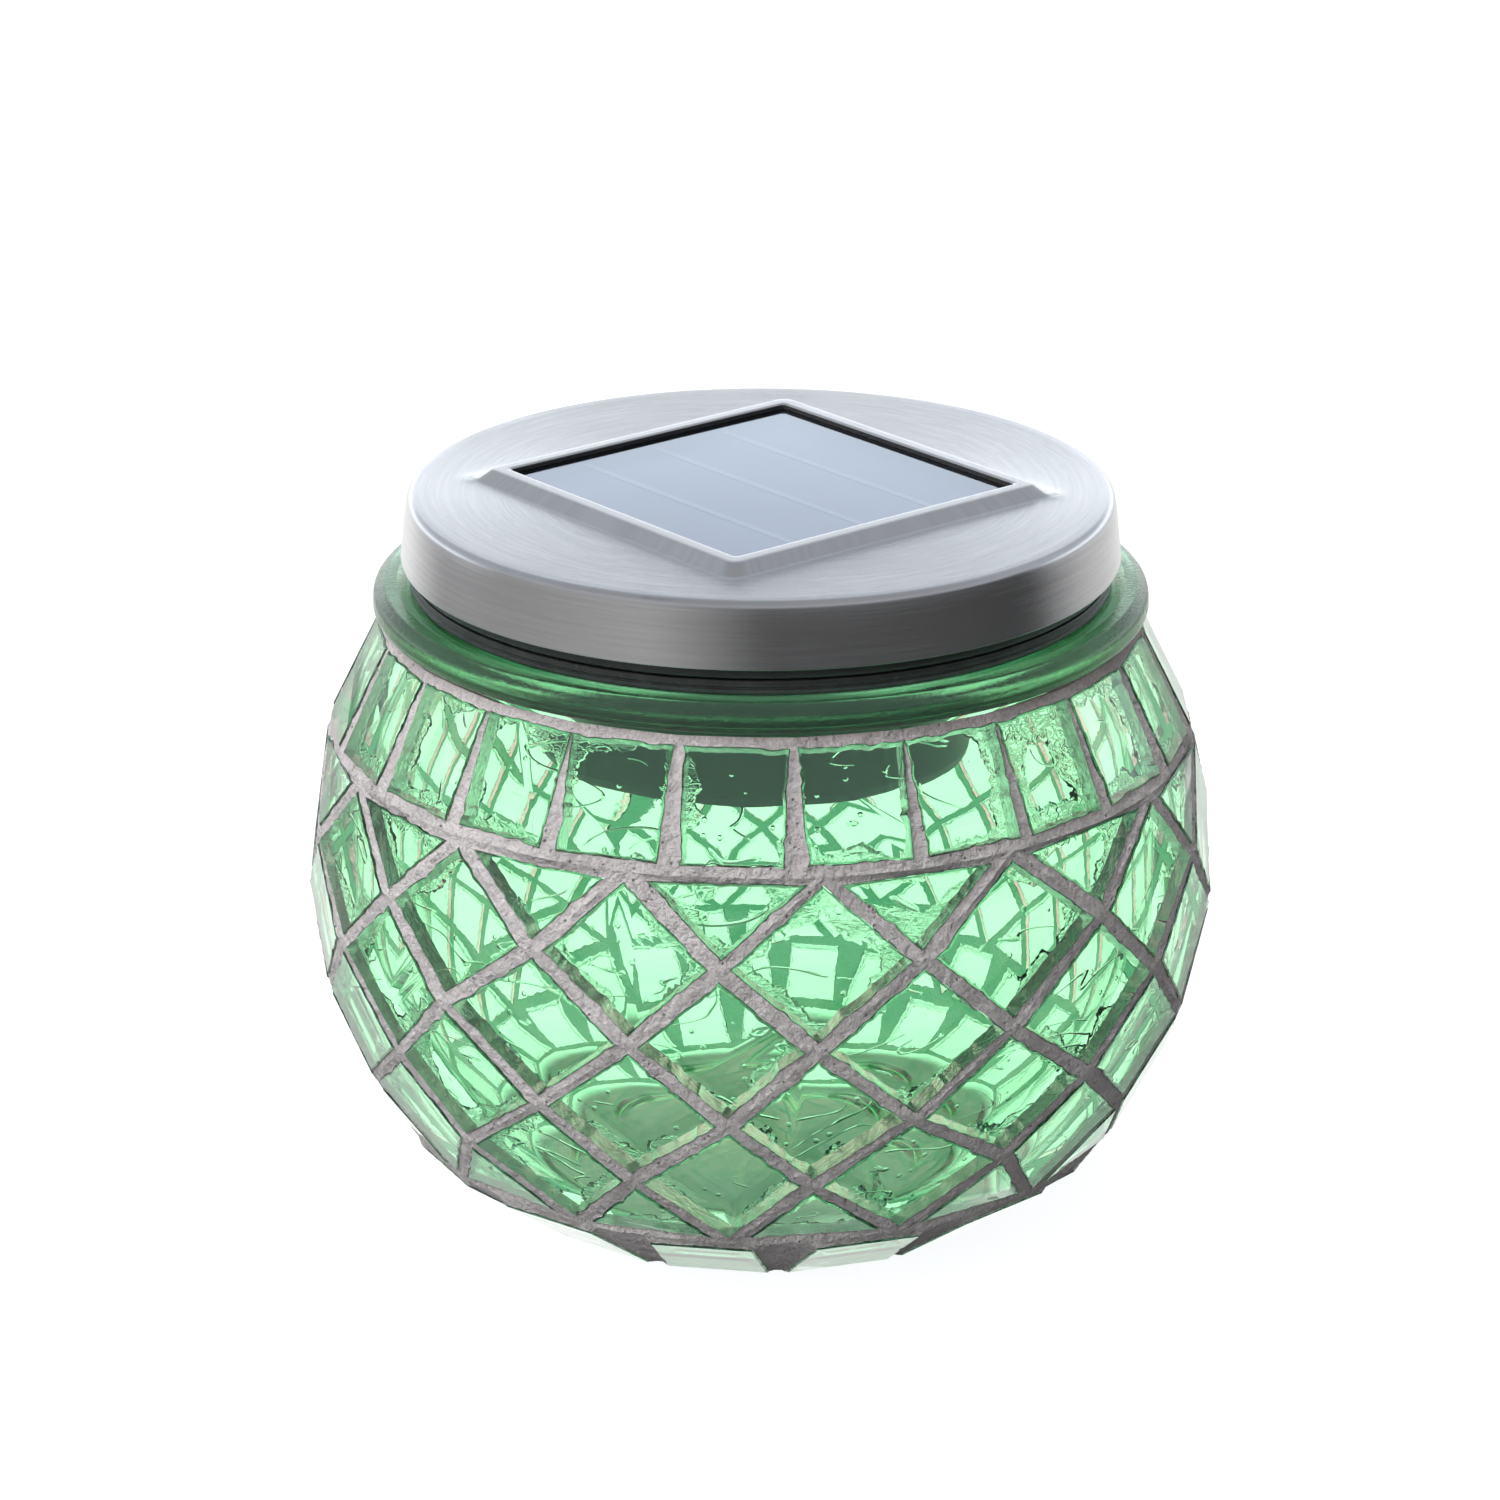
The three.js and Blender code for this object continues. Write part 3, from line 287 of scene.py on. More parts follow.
def mat_steel(g):
    v, p, r, z = ring_coords(g, 5.0, 7.0)
    fine = g.noise(v, 1.0, 3, 0.6)
    v2, _, _, _ = ring_coords(g, 12.0, 17.0)
    hair = g.noise(v2, 1.0, 2, 0.7)
    v3, _, _, _ = ring_coords(g, 2.2, 2.0)
    broad = g.noise(v3, 1.0, 2, 0.5)
    _, pu, pv = panel_xy(g)
    raised = g.smooth(g.m("MAXIMUM", g.m("ABSOLUTE", pu), g.m("ABSOLUTE", pv)), 25.9, 26.5, 1.0, 0.0)
    top = g.smooth(z, 92.3, 92.6)
    raised = g.m("MULTIPLY", raised, top)
    straight = g.noise(g("ShaderNodeCombineXYZ", {0: g.m("MULTIPLY", pu, 0.35), 1: g.m("MULTIPLY", pv, 0.35), 2: g.m("MULTIPLY", g.m("ADD", pu, pv), 5.0)}).outputs[0], 1.0, 2, 0.6)
    patch = g.noise(p, 0.06, 3, 0.6)
    plain = g.m("SUBTRACT", 1.0, raised)
    h = g.m("MULTIPLY", g.m("ADD", fine, g.m("MULTIPLY", hair, 0.6)), plain)
    h = g.m("ADD", h, g.m("MULTIPLY", g.m("MULTIPLY", straight, raised), 0.35))
    n = g.bump(h, g.lin(top, 0.0, 1.0, 0.15, 0.24), 0.00006)
    rough = g.m("ADD", g.lin(fine, 0.3, 0.7, 0.20, 0.27), g.m("MULTIPLY", g.m("SUBTRACT", patch, 0.5), 0.08))
    col = g.mix(g.lin(broad, 0.3, 0.7), (0.58, 0.58, 0.59), (0.64, 0.636, 0.632))
    col = g.mix(g.m("MULTIPLY", g.smooth(hair, 0.60, 0.8, 0.0, 0.6), plain), col, (0.86, 0.86, 0.87))
    col = g.mix(g.m("MULTIPLY", g.smooth(hair, 0.22, 0.40, 0.45, 0.0), plain), col, (0.34, 0.34, 0.35))
    tan = g("ShaderNodeTangent", direction_type="RADIAL", axis="Z").outputs[0]
    aniso = g.lin(raised, 0.0, 1.0, 0.88, 0.2)
    return principled(g, color=col, metal=1.0, rough=rough, aniso=aniso, arot=0.25, tangent=tan, normal=n)


def mat_plastic(base, rough=0.5, grain=1.0, scale=3.0, inside=0.0):
    def build(g):
        p = g.mm()
        a = g.noise(p, scale, 3, 0.6)
        b = g.noise(p, 0.15, 2, 0.5)
        col = g.mix(g.lin(b, 0.3, 0.7), base, tuple(min(1.0, c * 1.35 + 0.002) for c in base))
        scuff = g.noise(g.vm("MULTIPLY", p, (1.0, 6.0, 1.0)), 0.5, 4, 0.7)
        r = g.m("ADD", g.lin(a, 0.3, 0.7, rough - 0.06, rough + 0.08), g.smooth(scuff, 0.6, 0.75, 0.0, -0.12))
        # painted glow: on rays that come through the glass the plastic gives off green light, its strength set by
        # inside
        glow = g.m("MULTIPLY", g("ShaderNodeLightPath").outputs["Is Transmission Ray"], inside)
        return principled(g, color=col, rough=r, normal=g.bump(a, 0.25 * grain, 0.00006), emit=(0.30, 0.62, 0.46, 1.0), emit_s=glow)
    return build


def mat_metal(base, rough=0.3, stretch=(1.0, 1.0, 8.0)):
    def build(g):
        p = g.mm()
        a = g.noise(g.vm("MULTIPLY", p, stretch), 2.0, 3, 0.6)
        b = g.noise(p, 0.8, 3, 0.6)
        col = g.mix(g.lin(a, 0.3, 0.7), tuple(c * 0.82 for c in base), base)
        col = g.mix(g.smooth(b, 0.6, 0.8, 0.0, 0.4), col, tuple(c * 0.45 for c in base))
        return principled(g, color=col, metal=1.0, rough=g.lin(b, 0.3, 0.7, rough - 0.07, rough + 0.1), normal=g.bump(a, 0.15, 0.00003))
    return build


def mat_rubber(g):
    p = g.mm()
    a = g.noise(p, 4.0, 3, 0.6)
    b = g.noise(p, 0.3, 3, 0.6)
    col = g.mix(g.lin(b, 0.3, 0.7), (0.008, 0.008, 0.009), (0.022, 0.022, 0.023))
    dust = g.smooth(g.noise(p, 0.9, 4, 0.7), 0.58, 0.75, 0.0, 0.25)
    return principled(g, color=g.mix(dust, col, (0.10, 0.10, 0.095)), rough=g.lin(a, 0.3, 0.7, 0.32, 0.5), normal=g.bump(a, 0.2, 0.00006))


def mat_foam(g):
    p = g.mm()
    v = g("ShaderNodeTexVoronoi", {"Vector": p, "Scale": 5.0}, feature="F1").outputs["Distance"]
    # painted shade: the pores are painted darker where the bump dips into them
    return principled(g, color=g.mix(g.lin(v, 0.1, 0.6), (0.010, 0.010, 0.011), (0.028, 0.028, 0.03)), rough=0.9, spec=0.2, normal=g.bump(v, 0.7, 0.00015))


def panel_xy(g):
    p = g.mm()
    a = math.radians(-PANEL_TURN)
    u = g.vm("DOT_PRODUCT", p, (cos(a), -sin(a), 0), "Value")
    v = g.vm("DOT_PRODUCT", p, (sin(a), cos(a), 0), "Value")
    return p, u, v


def mat_cover(g):
    """Clear panel cover: mostly a mirror of the pale backdrop at this height."""
    p, u, v = panel_xy(g)
    dust = g.smooth(g.noise(p, 1.3, 4, 0.7), 0.60, 0.72)
    film = g.noise(p, 0.05, 3, 0.6)
    n = g.bump(g.noise(p, 0.04, 1, 0.5), 0.15, 0.0002)
    gl = g("ShaderNodeBsdfGlossy", {"Color": (0.76, 0.83, 0.90, 1), "Roughness": g.m("ADD", g.lin(film, 0.3, 0.7, 0.06, 0.09), g.m("MULTIPLY", dust, 0.015)), "Normal": n}).outputs[0]
    tr = g("ShaderNodeBsdfTransparent", {"Color": (0.93, 0.95, 0.98, 1)}).outputs[0]
    lw = g("ShaderNodeFresnel", {"IOR": 1.75, "Normal": n}).outputs[0]
    front = g.m("SUBTRACT", 1.0, g("ShaderNodeNewGeometry").outputs["Backfacing"])
    return g("ShaderNodeMixShader", {0: g.m("MULTIPLY", g.m("MINIMUM", g.m("MULTIPLY", lw, 2.15), 0.93), front), 1: tr, 2: gl}).outputs[0]


def mat_solar(g):
    """Thin-film cell: dark violet blue with fine printed fingers and bars."""
    p, u, v = panel_xy(g)
    fingers = g.m("ABSOLUTE", g.m("SUBTRACT", g.m("FRACT", g.m("DIVIDE", g.m("ADD", v, 100.0), 1.35)), 0.5))
    finger = g.smooth(fingers, 0.445, 0.475)
    bars = g.m("ABSOLUTE", g.m("SUBTRACT", g.m("FRACT", g.m("DIVIDE", g.m("ADD", u, 105.6), 11.2)), 0.5))
    bar = g.smooth(bars, 0.03, 0.045, 1.0, 0.0)
    grain = g("ShaderNodeTexVoronoi", {"Vector": p, "Scale": 0.32}, feature="F1").outputs["Color"]
    tone = g("ShaderNodeSeparateColor", {0: grain}).outputs[0]
    col = g.mix(tone, (0.016, 0.024, 0.062), (0.024, 0.034, 0.085))
    col = g.mix(g.lin(g.noise(p, 0.6, 3), 0.3, 0.7, 0.0, 0.5), col, (0.022, 0.02, 0.07))
    col = g.mix(g.m("MULTIPLY", finger, 0.22), col, (0.20, 0.21, 0.25))
    col = g.mix(g.m("MULTIPLY", bar, 0.45), col, (0.36, 0.37, 0.40))
    return principled(g, color=col, rough=0.3, metal=g.m("MULTIPLY", g.m("MAXIMUM", finger, bar), 0.5), spec=0.5)


def mat_board(g):
    """Green solder mask over copper tracks and pads."""
    p = g.mm()
    s = g("ShaderNodeSeparateXYZ", {0: p}).outputs
    br = g("ShaderNodeTexBrick", {"Vector": p, "Color1": (1, 1, 1, 1), "Color2": (0.6, 0.6, 0.6, 1), "Mortar": (0, 0, 0, 1), "Scale": 0.33, "Mortar Size": 0.035, "Mortar Smooth": 0.1}, offset=0.37, squash=1.4).outputs["Color"]
    track = g.smooth(g("ShaderNodeSeparateColor", {0: br}).outputs[0], 0.3, 0.5, 1.0, 0.0)
    vor = g("ShaderNodeTexVoronoi", {"Vector": p, "Scale": 0.3}, feature="F1").outputs
    pad = g.smooth(vor["Distance"], 0.13, 0.15, 1.0, 0.0)
    hole = g.smooth(vor["Distance"], 0.06, 0.07, 1.0, 0.0)
    side = g("ShaderNodeNewGeometry").outputs["Normal"]
    flat = g.smooth(g.m("ABSOLUTE", g("ShaderNodeSeparateXYZ", {0: side}).outputs[2]), 0.4, 0.6)
    mask = g.mix(g.lin(g.noise(p, 0.4, 3), 0.3, 0.7), (0.010, 0.075, 0.030), (0.016, 0.105, 0.042))
    col = g.mix(g.m("MULTIPLY", track, 0.6), mask, (0.05, 0.22, 0.09))
    col = g.mix(g.m("MULTIPLY", pad, flat), col, (0.72, 0.70, 0.62))
    # painted shade: the holes in the pads are painted nearly black rather than cut
    col = g.mix(g.m("MULTIPLY", hole, flat), col, (0.03, 0.03, 0.03))
    col = g.mix(g.m("SUBTRACT", 1.0, flat), col, (0.30, 0.28, 0.12))
    h = g.m("ADD", g.m("MULTIPLY", track, 0.5), g.m("MULTIPLY", pad, 0.8))
    return principled(g, color=col, rough=0.32, metal=g.m("MULTIPLY", g.m("MULTIPLY", pad, g.m("SUBTRACT", 1.0, hole)), flat), coat=0.4, normal=g.bump(h, 0.5, 0.00008))


def mat_lamp(g):
    p = g.mm()
    return principled(g, color=(0.96, 0.97, 0.95), trans=0.9, ior=1.52, rough=g.lin(g.noise(p, 0.6, 3), 0.3, 0.7, 0.03, 0.14), normal=g.bump(g.noise(p, 0.7, 2), 0.08, 0.00005))


def mat_choke(g):
    p = g.mm()
    s = g("ShaderNodeSeparateXYZ", {0: p}).outputs
    band = g.m("FRACT", g.m("DIVIDE", s[0], 1.75))
    ring = g.smooth(g.m("ABSOLUTE", g.m("SUBTRACT", band, 0.5)), 0.18, 0.22, 1.0, 0.0)
    col = g.mix(g.lin(g.noise(p, 1.5, 3), 0.3, 0.7), (0.07, 0.20, 0.11), (0.11, 0.28, 0.16))
    col = g.mix(g.m("MULTIPLY", ring, 0.85), col, (0.30, 0.15, 0.03))
    return principled(g, color=col, rough=0.35, coat=0.5, normal=g.bump(g.noise(p, 2.5, 2), 0.2, 0.00008))


def mat_wrap(g):
    """Shrink-wrapped cell: green sleeve with a plain white band, bare ends."""
    p = g.mm()
    x = g("ShaderNodeSeparateXYZ", {0: p}).outputs[0]
    geo = g("ShaderNodeNewGeometry").outputs["Normal"]
    end = g.smooth(g.m("ABSOLUTE", x), 13.55, 13.7)
    band = g.m("MULTIPLY", g.smooth(x, 7.0, 7.15), g.smooth(x, 10.4, 10.55, 1.0, 0.0))
    wr = g.noise(g.vm("MULTIPLY", p, (6.0, 1.0, 1.0)), 0.3, 3, 0.6)
    col = g.mix(g.lin(g.noise(p, 0.3, 3), 0.3, 0.7), (0.020, 0.19, 0.060), (0.032, 0.25, 0.085))
    col = g.mix(band, col, (0.75, 0.76, 0.74))
    col = g.mix(end, col, (0.62, 0.62, 0.60))
    return principled(g, color=col, rough=g.lin(wr, 0.3, 0.7, 0.22, 0.34), metal=end, coat=0.3, normal=g.bump(wr, 0.12, 0.0001))


M = {
    "jar": material("green_glass", mat_jar), "tile": material("tile_face", mat_tile), "tile_side": material("tile_edge_painted_shade", mat_tile_side),
    "tile_back": material("tile_glue_side", mat_tile_back), "grout": material("cement_grout", mat_grout), "steel": material("brushed_steel", mat_steel),
    "seal": material("seal_rubber", mat_rubber), "foam": material("gasket_foam", mat_foam), "cover": material("panel_cover", mat_cover),
    # black_plastic's inside=0.055 is the strength of its painted green glow seen through the glass
    "solar": material("solar_film", mat_solar), "board": material("circuit_laminate", mat_board), "black": material("black_plastic", mat_plastic((0.012, 0.012, 0.013), 0.42, inside=0.055)),
    "lamp": material("lamp_lens", mat_lamp), "choke": material("choke_body", mat_choke), "screw": material("screw_steel", mat_metal((0.62, 0.62, 0.63), 0.26)),
    "contact": material("contact_metal", mat_metal((0.78, 0.76, 0.70), 0.22)), "wrap": material("cell_wrap", mat_wrap),
    "red": material("wire_red", mat_plastic((0.42, 0.012, 0.010), 0.36, 0.6)), "wire_black": material("wire_black", mat_plastic((0.014, 0.014, 0.015), 0.36, 0.6)),
    "chip": material("chip_resin", mat_plastic((0.016, 0.016, 0.017), 0.5, 1.5, 5.0)), "can": material("switch_can", mat_metal((0.60, 0.60, 0.60), 0.28)),
}


# --------------------------------------------------------------------- meshes
def obj(name, verts, faces, mats, body, nodes=(), slot=None, angle=None, index=None, fix=False):
    mesh = bpy.data.meshes.new(name)
    mesh.from_pydata([tuple(v) for v in (np.asarray(verts, float) * MM)], [], faces)
    for m in mats:
        mesh.materials.append(m)
    if index is not None:
        mesh.polygons.foreach_set("material_index", np.asarray(index, np.int32))
    if fix:
        bm = bmesh.new()
        bm.from_mesh(mesh)
        bmesh.ops.recalc_face_normals(bm, faces=bm.faces)
        bm.to_mesh(mesh)
        bm.free()
    mesh.polygons.foreach_set("use_smooth", [True] * len(mesh.polygons))
    if angle is not None:
        mesh.set_sharp_from_angle(angle=math.radians(angle))
    mesh.update()
    o = bpy.data.objects.new(name, mesh)
    SCENE.collection.objects.link(o)
    if body:
        register(o, body, nodes)
    return o


def register(o, body, nodes=()):
    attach(o, body)
    if nodes:
        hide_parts(*nodes)
    return o


def fillet(points, steps=5):
    """[(r, z, radius)] closed outline -> points with arcs at the corners."""
    out, n = [], len(points)
    for i in range(n):
        p = np.array(points[i][:2], float)
        rad = points[i][2] if len(points[i]) > 2 else 0.0
        a, b = np.array(points[i - 1][:2], float), np.array(points[(i + 1) % n][:2], float)
        u, w = a - p, b - p
        lu, lw = np.hypot(*u), np.hypot(*w)
        if rad <= 0 or lu < 1e-9 or lw < 1e-9:
            out.append(tuple(p))
            continue
        u, w = u / lu, w / lw
        ang = math.acos(max(-1, min(1, float(u @ w))))
        if ang > pi - 0.02 or ang < 0.02:
            out.append(tuple(p))
            continue
        t = min(rad / math.tan(ang / 2), 0.48 * lu, 0.48 * lw)
        rr = t * math.tan(ang / 2)
        c = p + (u + w) / np.hypot(*(u + w)) * (rr / sin(ang / 2))
        s, e = p + u * t, p + w * t
        a0, a1 = math.atan2(*(s - c)[::-1]), math.atan2(*(e - c)[::-1])
        d = (a1 - a0 + pi) % (2 * pi) - pi
        for k in range(steps + 1):
            q = a0 + d * k / steps
            out.append((c[0] + rr * cos(q), c[1] + rr * sin(q)))
    return out


def lathe_data(profile, n, centre=(0.0, 0.0), start=0.0):
    """Closed outline turned about Z; points on the axis become poles."""
    verts, faces, rings = [], [], []
    for r, z in profile:
        if r < 1e-6:
            rings.append([len(verts)])
            verts.append((centre[0], centre[1], z))
        else:
            rings.append(list(range(len(verts), len(verts) + n)))
            for k in range(n):
                a = start + 2 * pi * k / n
                verts.append((centre[0] + r * cos(a), centre[1] + r * sin(a), z))
    for i in range(len(rings)):
        A, B = rings[i], rings[(i + 1) % len(rings)]
        if len(A) == 1 and len(B) == 1:
            continue
        for k in range(n):
            k2 = (k + 1) % n
            if len(A) == 1:
                faces.append((A[0], B[k2], B[k]))
            elif len(B) == 1:
                faces.append((A[k], A[k2], B[0]))
            else:
                faces.append((A[k], A[k2], B[k2], B[k]))
    return verts, faces


def lathe(name, profile, mats, body, nodes=(), slot=None, n=128, centre=(0.0, 0.0), angle=30, start=0.0):
    v, f = lathe_data(profile, n, centre, start)
    return obj(name, v, f, mats, body, nodes, slot, angle, fix=True)


def box_data(x0, x1, y0, y1, z0, z1, bevel=0.0):
    v = [(x, y, z) for z in (z0, z1) for y in (y0, y1) for x in (x0, x1)]
    f = [(0, 2, 3, 1), (4, 5, 7, 6), (0, 1, 5, 4), (2, 6, 7, 3), (0, 4, 6, 2), (1, 3, 7, 5)]
    return v, f


def merged(*parts):
    verts, faces = [], []
    for v, f in parts:
        k = len(verts)
        verts += list(v)
        faces += [tuple(i + k for i in q) for q in f]
    return verts, faces


def turned_by(data, deg):
    a = math.radians(deg)
    return [(x * cos(a) - y * sin(a), x * sin(a) + y * cos(a), z) for x, y, z in data[0]], data[1]


def temp(name, data):
    return obj(name, data[0], data[1], [], None, fix=True)


def boolean(target, cutters, op="DIFFERENCE"):
    for c in cutters:
        m = target.modifiers.new("b", "BOOLEAN")
        m.operation, m.solver, m.object = op, "EXACT", c
    dg = bpy.context.evaluated_depsgraph_get()
    dg.update()
    mesh = bpy.data.meshes.new_from_object(target.evaluated_get(dg), depsgraph=dg)
    target.modifiers.clear()
    old = target.data
    mats = list(old.materials)
    target.data = mesh
    mesh.name = old.name
    if len(mesh.materials) < len(mats):
        mesh.materials.clear()
        for m in mats:
            mesh.materials.append(m)
    bpy.data.meshes.remove(old)
    for c in cutters:
        me = c.data
        bpy.data.objects.remove(c)
        bpy.data.meshes.remove(me)
    return target


def soften(target, width=0.25, segments=2, angle=35, sharp=32):
    """Rounds the sharp edges of a finished mesh and keeps flat faces flat."""
    m = target.modifiers.new("bevel", "BEVEL")
    m.width, m.segments, m.limit_method, m.angle_limit = width * MM, segments, "ANGLE", math.radians(angle)
    m.use_clamp_overlap = True
    m.miter_outer = "MITER_ARC"
    target.data.polygons.foreach_set("use_smooth", [True] * len(target.data.polygons))
    w = target.modifiers.new("weighted", "WEIGHTED_NORMAL")
    w.mode, w.weight, w.keep_sharp = "FACE_AREA", 80, True
    dg = bpy.context.evaluated_depsgraph_get()
    dg.update()
    mesh = bpy.data.meshes.new_from_object(target.evaluated_get(dg), depsgraph=dg)
    target.modifiers.clear()
    old = target.data
    target.data = mesh
    bpy.data.meshes.remove(old)
    return target


def sweep(points, r, sides=12, steps=10, closed_ends=True, wobble=0.0):
    """Tube along a smooth curve through the points."""
    P = [np.array(p, float) for p in points]
    P = [2 * P[0] - P[1]] + P + [2 * P[-1] - P[-2]]
    path = []
    for i in range(1, len(P) - 2):
        for k in range(steps if i < len(P) - 3 else steps + 1):
            t = k / steps
            path.append(0.5 * ((2 * P[i]) + (-P[i - 1] + P[i + 1]) * t + (2 * P[i - 1] - 5 * P[i] + 4 * P[i + 1] - P[i + 2]) * t * t + (-P[i - 1] + 3 * P[i] - 3 * P[i + 1] + P[i + 2]) * t ** 3))
    verts, faces = [], []
    up = None
    for i, p in enumerate(path):
        d = path[min(i + 1, len(path) - 1)] - path[max(i - 1, 0)]
        d /= np.linalg.norm(d)
        if up is None:
            up = np.cross(d, (0, 0, 1)) if abs(d[2]) < 0.9 else np.cross(d, (1, 0, 0))
        up = up - d * (up @ d)
        up /= np.linalg.norm(up)
        side = np.cross(d, up)
        for k in range(sides):
            a = 2 * pi * k / sides
            verts.append(p + (up * cos(a) + side * sin(a)) * r)
        if i:
            b = (i - 1) * sides
            for k in range(sides):
                k2 = (k + 1) % sides
                faces.append((b + k, b + k2, b + sides + k2, b + sides + k))
    faces.append(tuple(range(sides))[::-1])
    faces.append(tuple(range(len(verts) - sides, len(verts))))
    return verts, faces


# ------------------------------------------------------- the body of revolution
def table(t, x):
    if x <= t[0][0]:
        return np.array(t[0][1:], float)
    for i in range(1, len(t)):
        if x <= t[i][0]:
            k = (x - t[i - 1][0]) / (t[i][0] - t[i - 1][0])
            return np.array(t[i - 1][1:], float) * (1 - k) + np.array(t[i][1:], float) * k
    return np.array(t[-1][1:], float)


def section(arc, sink=0.0):
    r, z = table(BODY, arc)
    ra, za = table(BODY, arc - 3)
    rb, zb = table(BODY, arc + 3)
    l = math.hypot(rb - ra, zb - za)
    nr, nz = -(zb - za) / l, (rb - ra) / l
    return r - sink * nr, z - sink * nz, nr, nz


def on_body(arc, deg, sink=0.0):
    r, z, _, _ = section(arc, sink)
    a = math.radians(deg)
    return np.array((r * sin(a), -r * cos(a), z))


def jar_sink(arc):
    return float(table(JAR_SINK, arc)[0])


def smoothed(points, rounds=2):
    """Softens an open polyline, ends kept."""
    p = np.array(points, float)
    for _ in range(rounds):
        q = p.copy()
        q[1:-1] = 0.25 * p[:-2] + 0.5 * p[1:-1] + 0.25 * p[2:]
        p = q
    return [tuple(x) for x in p]


JAR_OUT = smoothed([section(a, jar_sink(a))[:2] for a in np.arange(5.5, 91.6, 1.5)], 4)      # rim -> foot
JAR_IN = smoothed([section(a, jar_sink(a) + GLASS_WALL)[:2] for a in np.arange(6.0, 88.6, 1.5)], 4)


def jar_distance(P):
    """Signed distance (positive outside) of points N x 3 from the jar's outer wall."""
    L = np.array([(43.6, 79.5)] + JAR_OUT + [(28.9, -0.4)])
    q = np.stack([np.hypot(P[:, 0], P[:, 1]), P[:, 2]], 1)
    a, b = L[:-1], L[1:]
    d = b - a
    t = np.clip(((q[:, None, :] - a) * d).sum(2) / (d * d).sum(1), 0, 1)
    c = a + t[..., None] * d
    e = q[:, None, :] - c
    dist = np.hypot(e[..., 0], e[..., 1])
    k = dist.argmin(1)
    i = np.arange(len(q))
    cross = d[k, 0] * e[i, k, 1] - d[k, 1] * e[i, k, 0]      # walking down the wall, outside is on the left
    return np.where(cross > 0, 1.0, -1.0) * dist[i, k]


def depth_to_jar(P, N, gap, lo=1.2, hi=7.0):
    """How far along -N each point is from the jar's wall, less the gap."""
    P = np.asarray(P, float)
    N = np.broadcast_to(np.asarray(N, float), P.shape)
    a, b = np.full(len(P), lo), np.full(len(P), hi)
    for _ in range(22):
        m = (a + b) / 2
        out = jar_distance(P - N * m[:, None]) > gap
        a, b = np.where(out, m, a), np.where(out, b, m)
    return a


# ------------------------------------------------- the lattice of the mosaic
def even(a, b, n):
    return [a + (b - a) * (i + 1) / (n + 1) for i in range(n)]


def ring_of(front, n):
    return list(front) + even(front[-1], front[0] + 360, n)


def spread(i, k):
    x = sin(i * 12.9898 + k * 78.233) * 43758.5453
    return 2 * (x - math.floor(x)) - 1


NODE = {
    "a": ring_of([-64.5, -41, -17, 7.6, 32.8, 60.3], 9), "b": ring_of([-52.3, -28.5, -5, 19.5, 46], 10),
    "c": ring_of([-64, -41.5, -16, 6.5, 31.5, 57], 9), "d": ring_of([-52, -28.5, -4, 19, 45], 10),
    "e": [-66.6] + ring_of([-43, -17, 6.5, 34], 11)[:14], "f": [-52.4] + ring_of([-28.5, -4.5, 21], 12)[:14]}
R1_TILES = [(-72, -59), (-57, -43.5), (-41.5, -28.5), (-27, -13.5), (-10.5, 3.5), (6, 19), (21.5, 35), (35.7, 49), (50.2, 64), (66.5, 80)]
R1_JOINTS = ring_of([-73.3] + [(R1_TILES[i][1] + R1_TILES[i + 1][0]) / 2 for i in range(9)] + [81.4], 12)
R2_CENTRES = ring_of([-35, -9.5, 17.5, 41], 10)
R2_JOINTS = [(c + (R2_CENTRES[i + 1] if i + 1 < 14 else R2_CENTRES[0] + 360)) / 2 for i, c in enumerate(R2_CENTRES)]

nodes = []


def add_node(deg, arc):
    nodes.append((deg, arc, on_body(arc, deg)))
    return len(nodes) - 1


IDS = {}
for k, level in enumerate("abcdef"):
    IDS[level] = [add_node(deg, ARC[level] + (0.4 * spread(i, k) if 0 < k < 5 else 0)) for i, deg in enumerate(NODE[level])]
r1_low = [add_node(d, ARC["a"]) for d in R1_JOINTS]
r1_top = [add_node(d, ARC["top"]) for d in R1_JOINTS]
r2_top = [add_node(d, ARC["f"]) for d in R2_JOINTS]
r2_low = [add_node(d, ARC["foot"]) for d in R2_JOINTS]


def norm(d):
    return ((d % 360) + 360) % 360


def between(ring, i, j):
    start = norm(nodes[i][0])
    span = norm(nodes[j][0] - nodes[i][0])
    found = [n for n in ring if n != i and n != j and norm(nodes[n][0] - start) < span]
    return sorted(found, key=lambda n: norm(nodes[n][0] - start))


ring_a, ring_f = IDS["a"] + r1_low, IDS["f"] + r2_top
cells = []
at = lambda seq, k: seq[(k + len(seq)) % len(seq)]
for k in range(23):
    l, r = r1_low[k], at(r1_low, k + 1)
    cells.append(dict(row="tiles_upper_rectangles", rect=R1, outline=[l] + between(ring_a, l, r) + [r, at(r1_top, k + 1), r1_top[k]]))
for k in range(15):
    l, r = IDS["a"][k], at(IDS["a"], k + 1)
    cells.append(dict(row="tiles_upper_triangles", corners=[l, IDS["b"][k], r], edges=[1, 1, 1.35], outline=[l, IDS["b"][k], r] + between(ring_a, l, r)[::-1]))
for k in range(15):
    for row, (l, b, r, t) in (("tiles_diamond_course_1", (at(IDS["b"], k - 1), IDS["c"][k], IDS["b"][k], IDS["a"][k])),
                              ("tiles_diamond_course_2", (IDS["c"][k], IDS["d"][k], at(IDS["c"], k + 1), IDS["b"][k])),
                              ("tiles_diamond_course_3", (at(IDS["d"], k - 1), IDS["e"][k], IDS["d"][k], IDS["c"][k])),
                              ("tiles_diamond_course_4", (IDS["e"][k], IDS["f"][k], at(IDS["e"], k + 1), IDS["d"][k]))):
        cells.append(dict(row=row, corners=[l, b, r, t], edges=[1, 1, 1, 1], outline=[l, b, r, t]))
for k in range(15):
    l, r = at(IDS["f"], k - 1), IDS["f"][k]
    cells.append(dict(row="tiles_lower_triangles", corners=[l, r, IDS["e"][k]], edges=[1.5, 1, 1], outline=[l] + between(ring_f, l, r) + [r, IDS["e"][k]]))
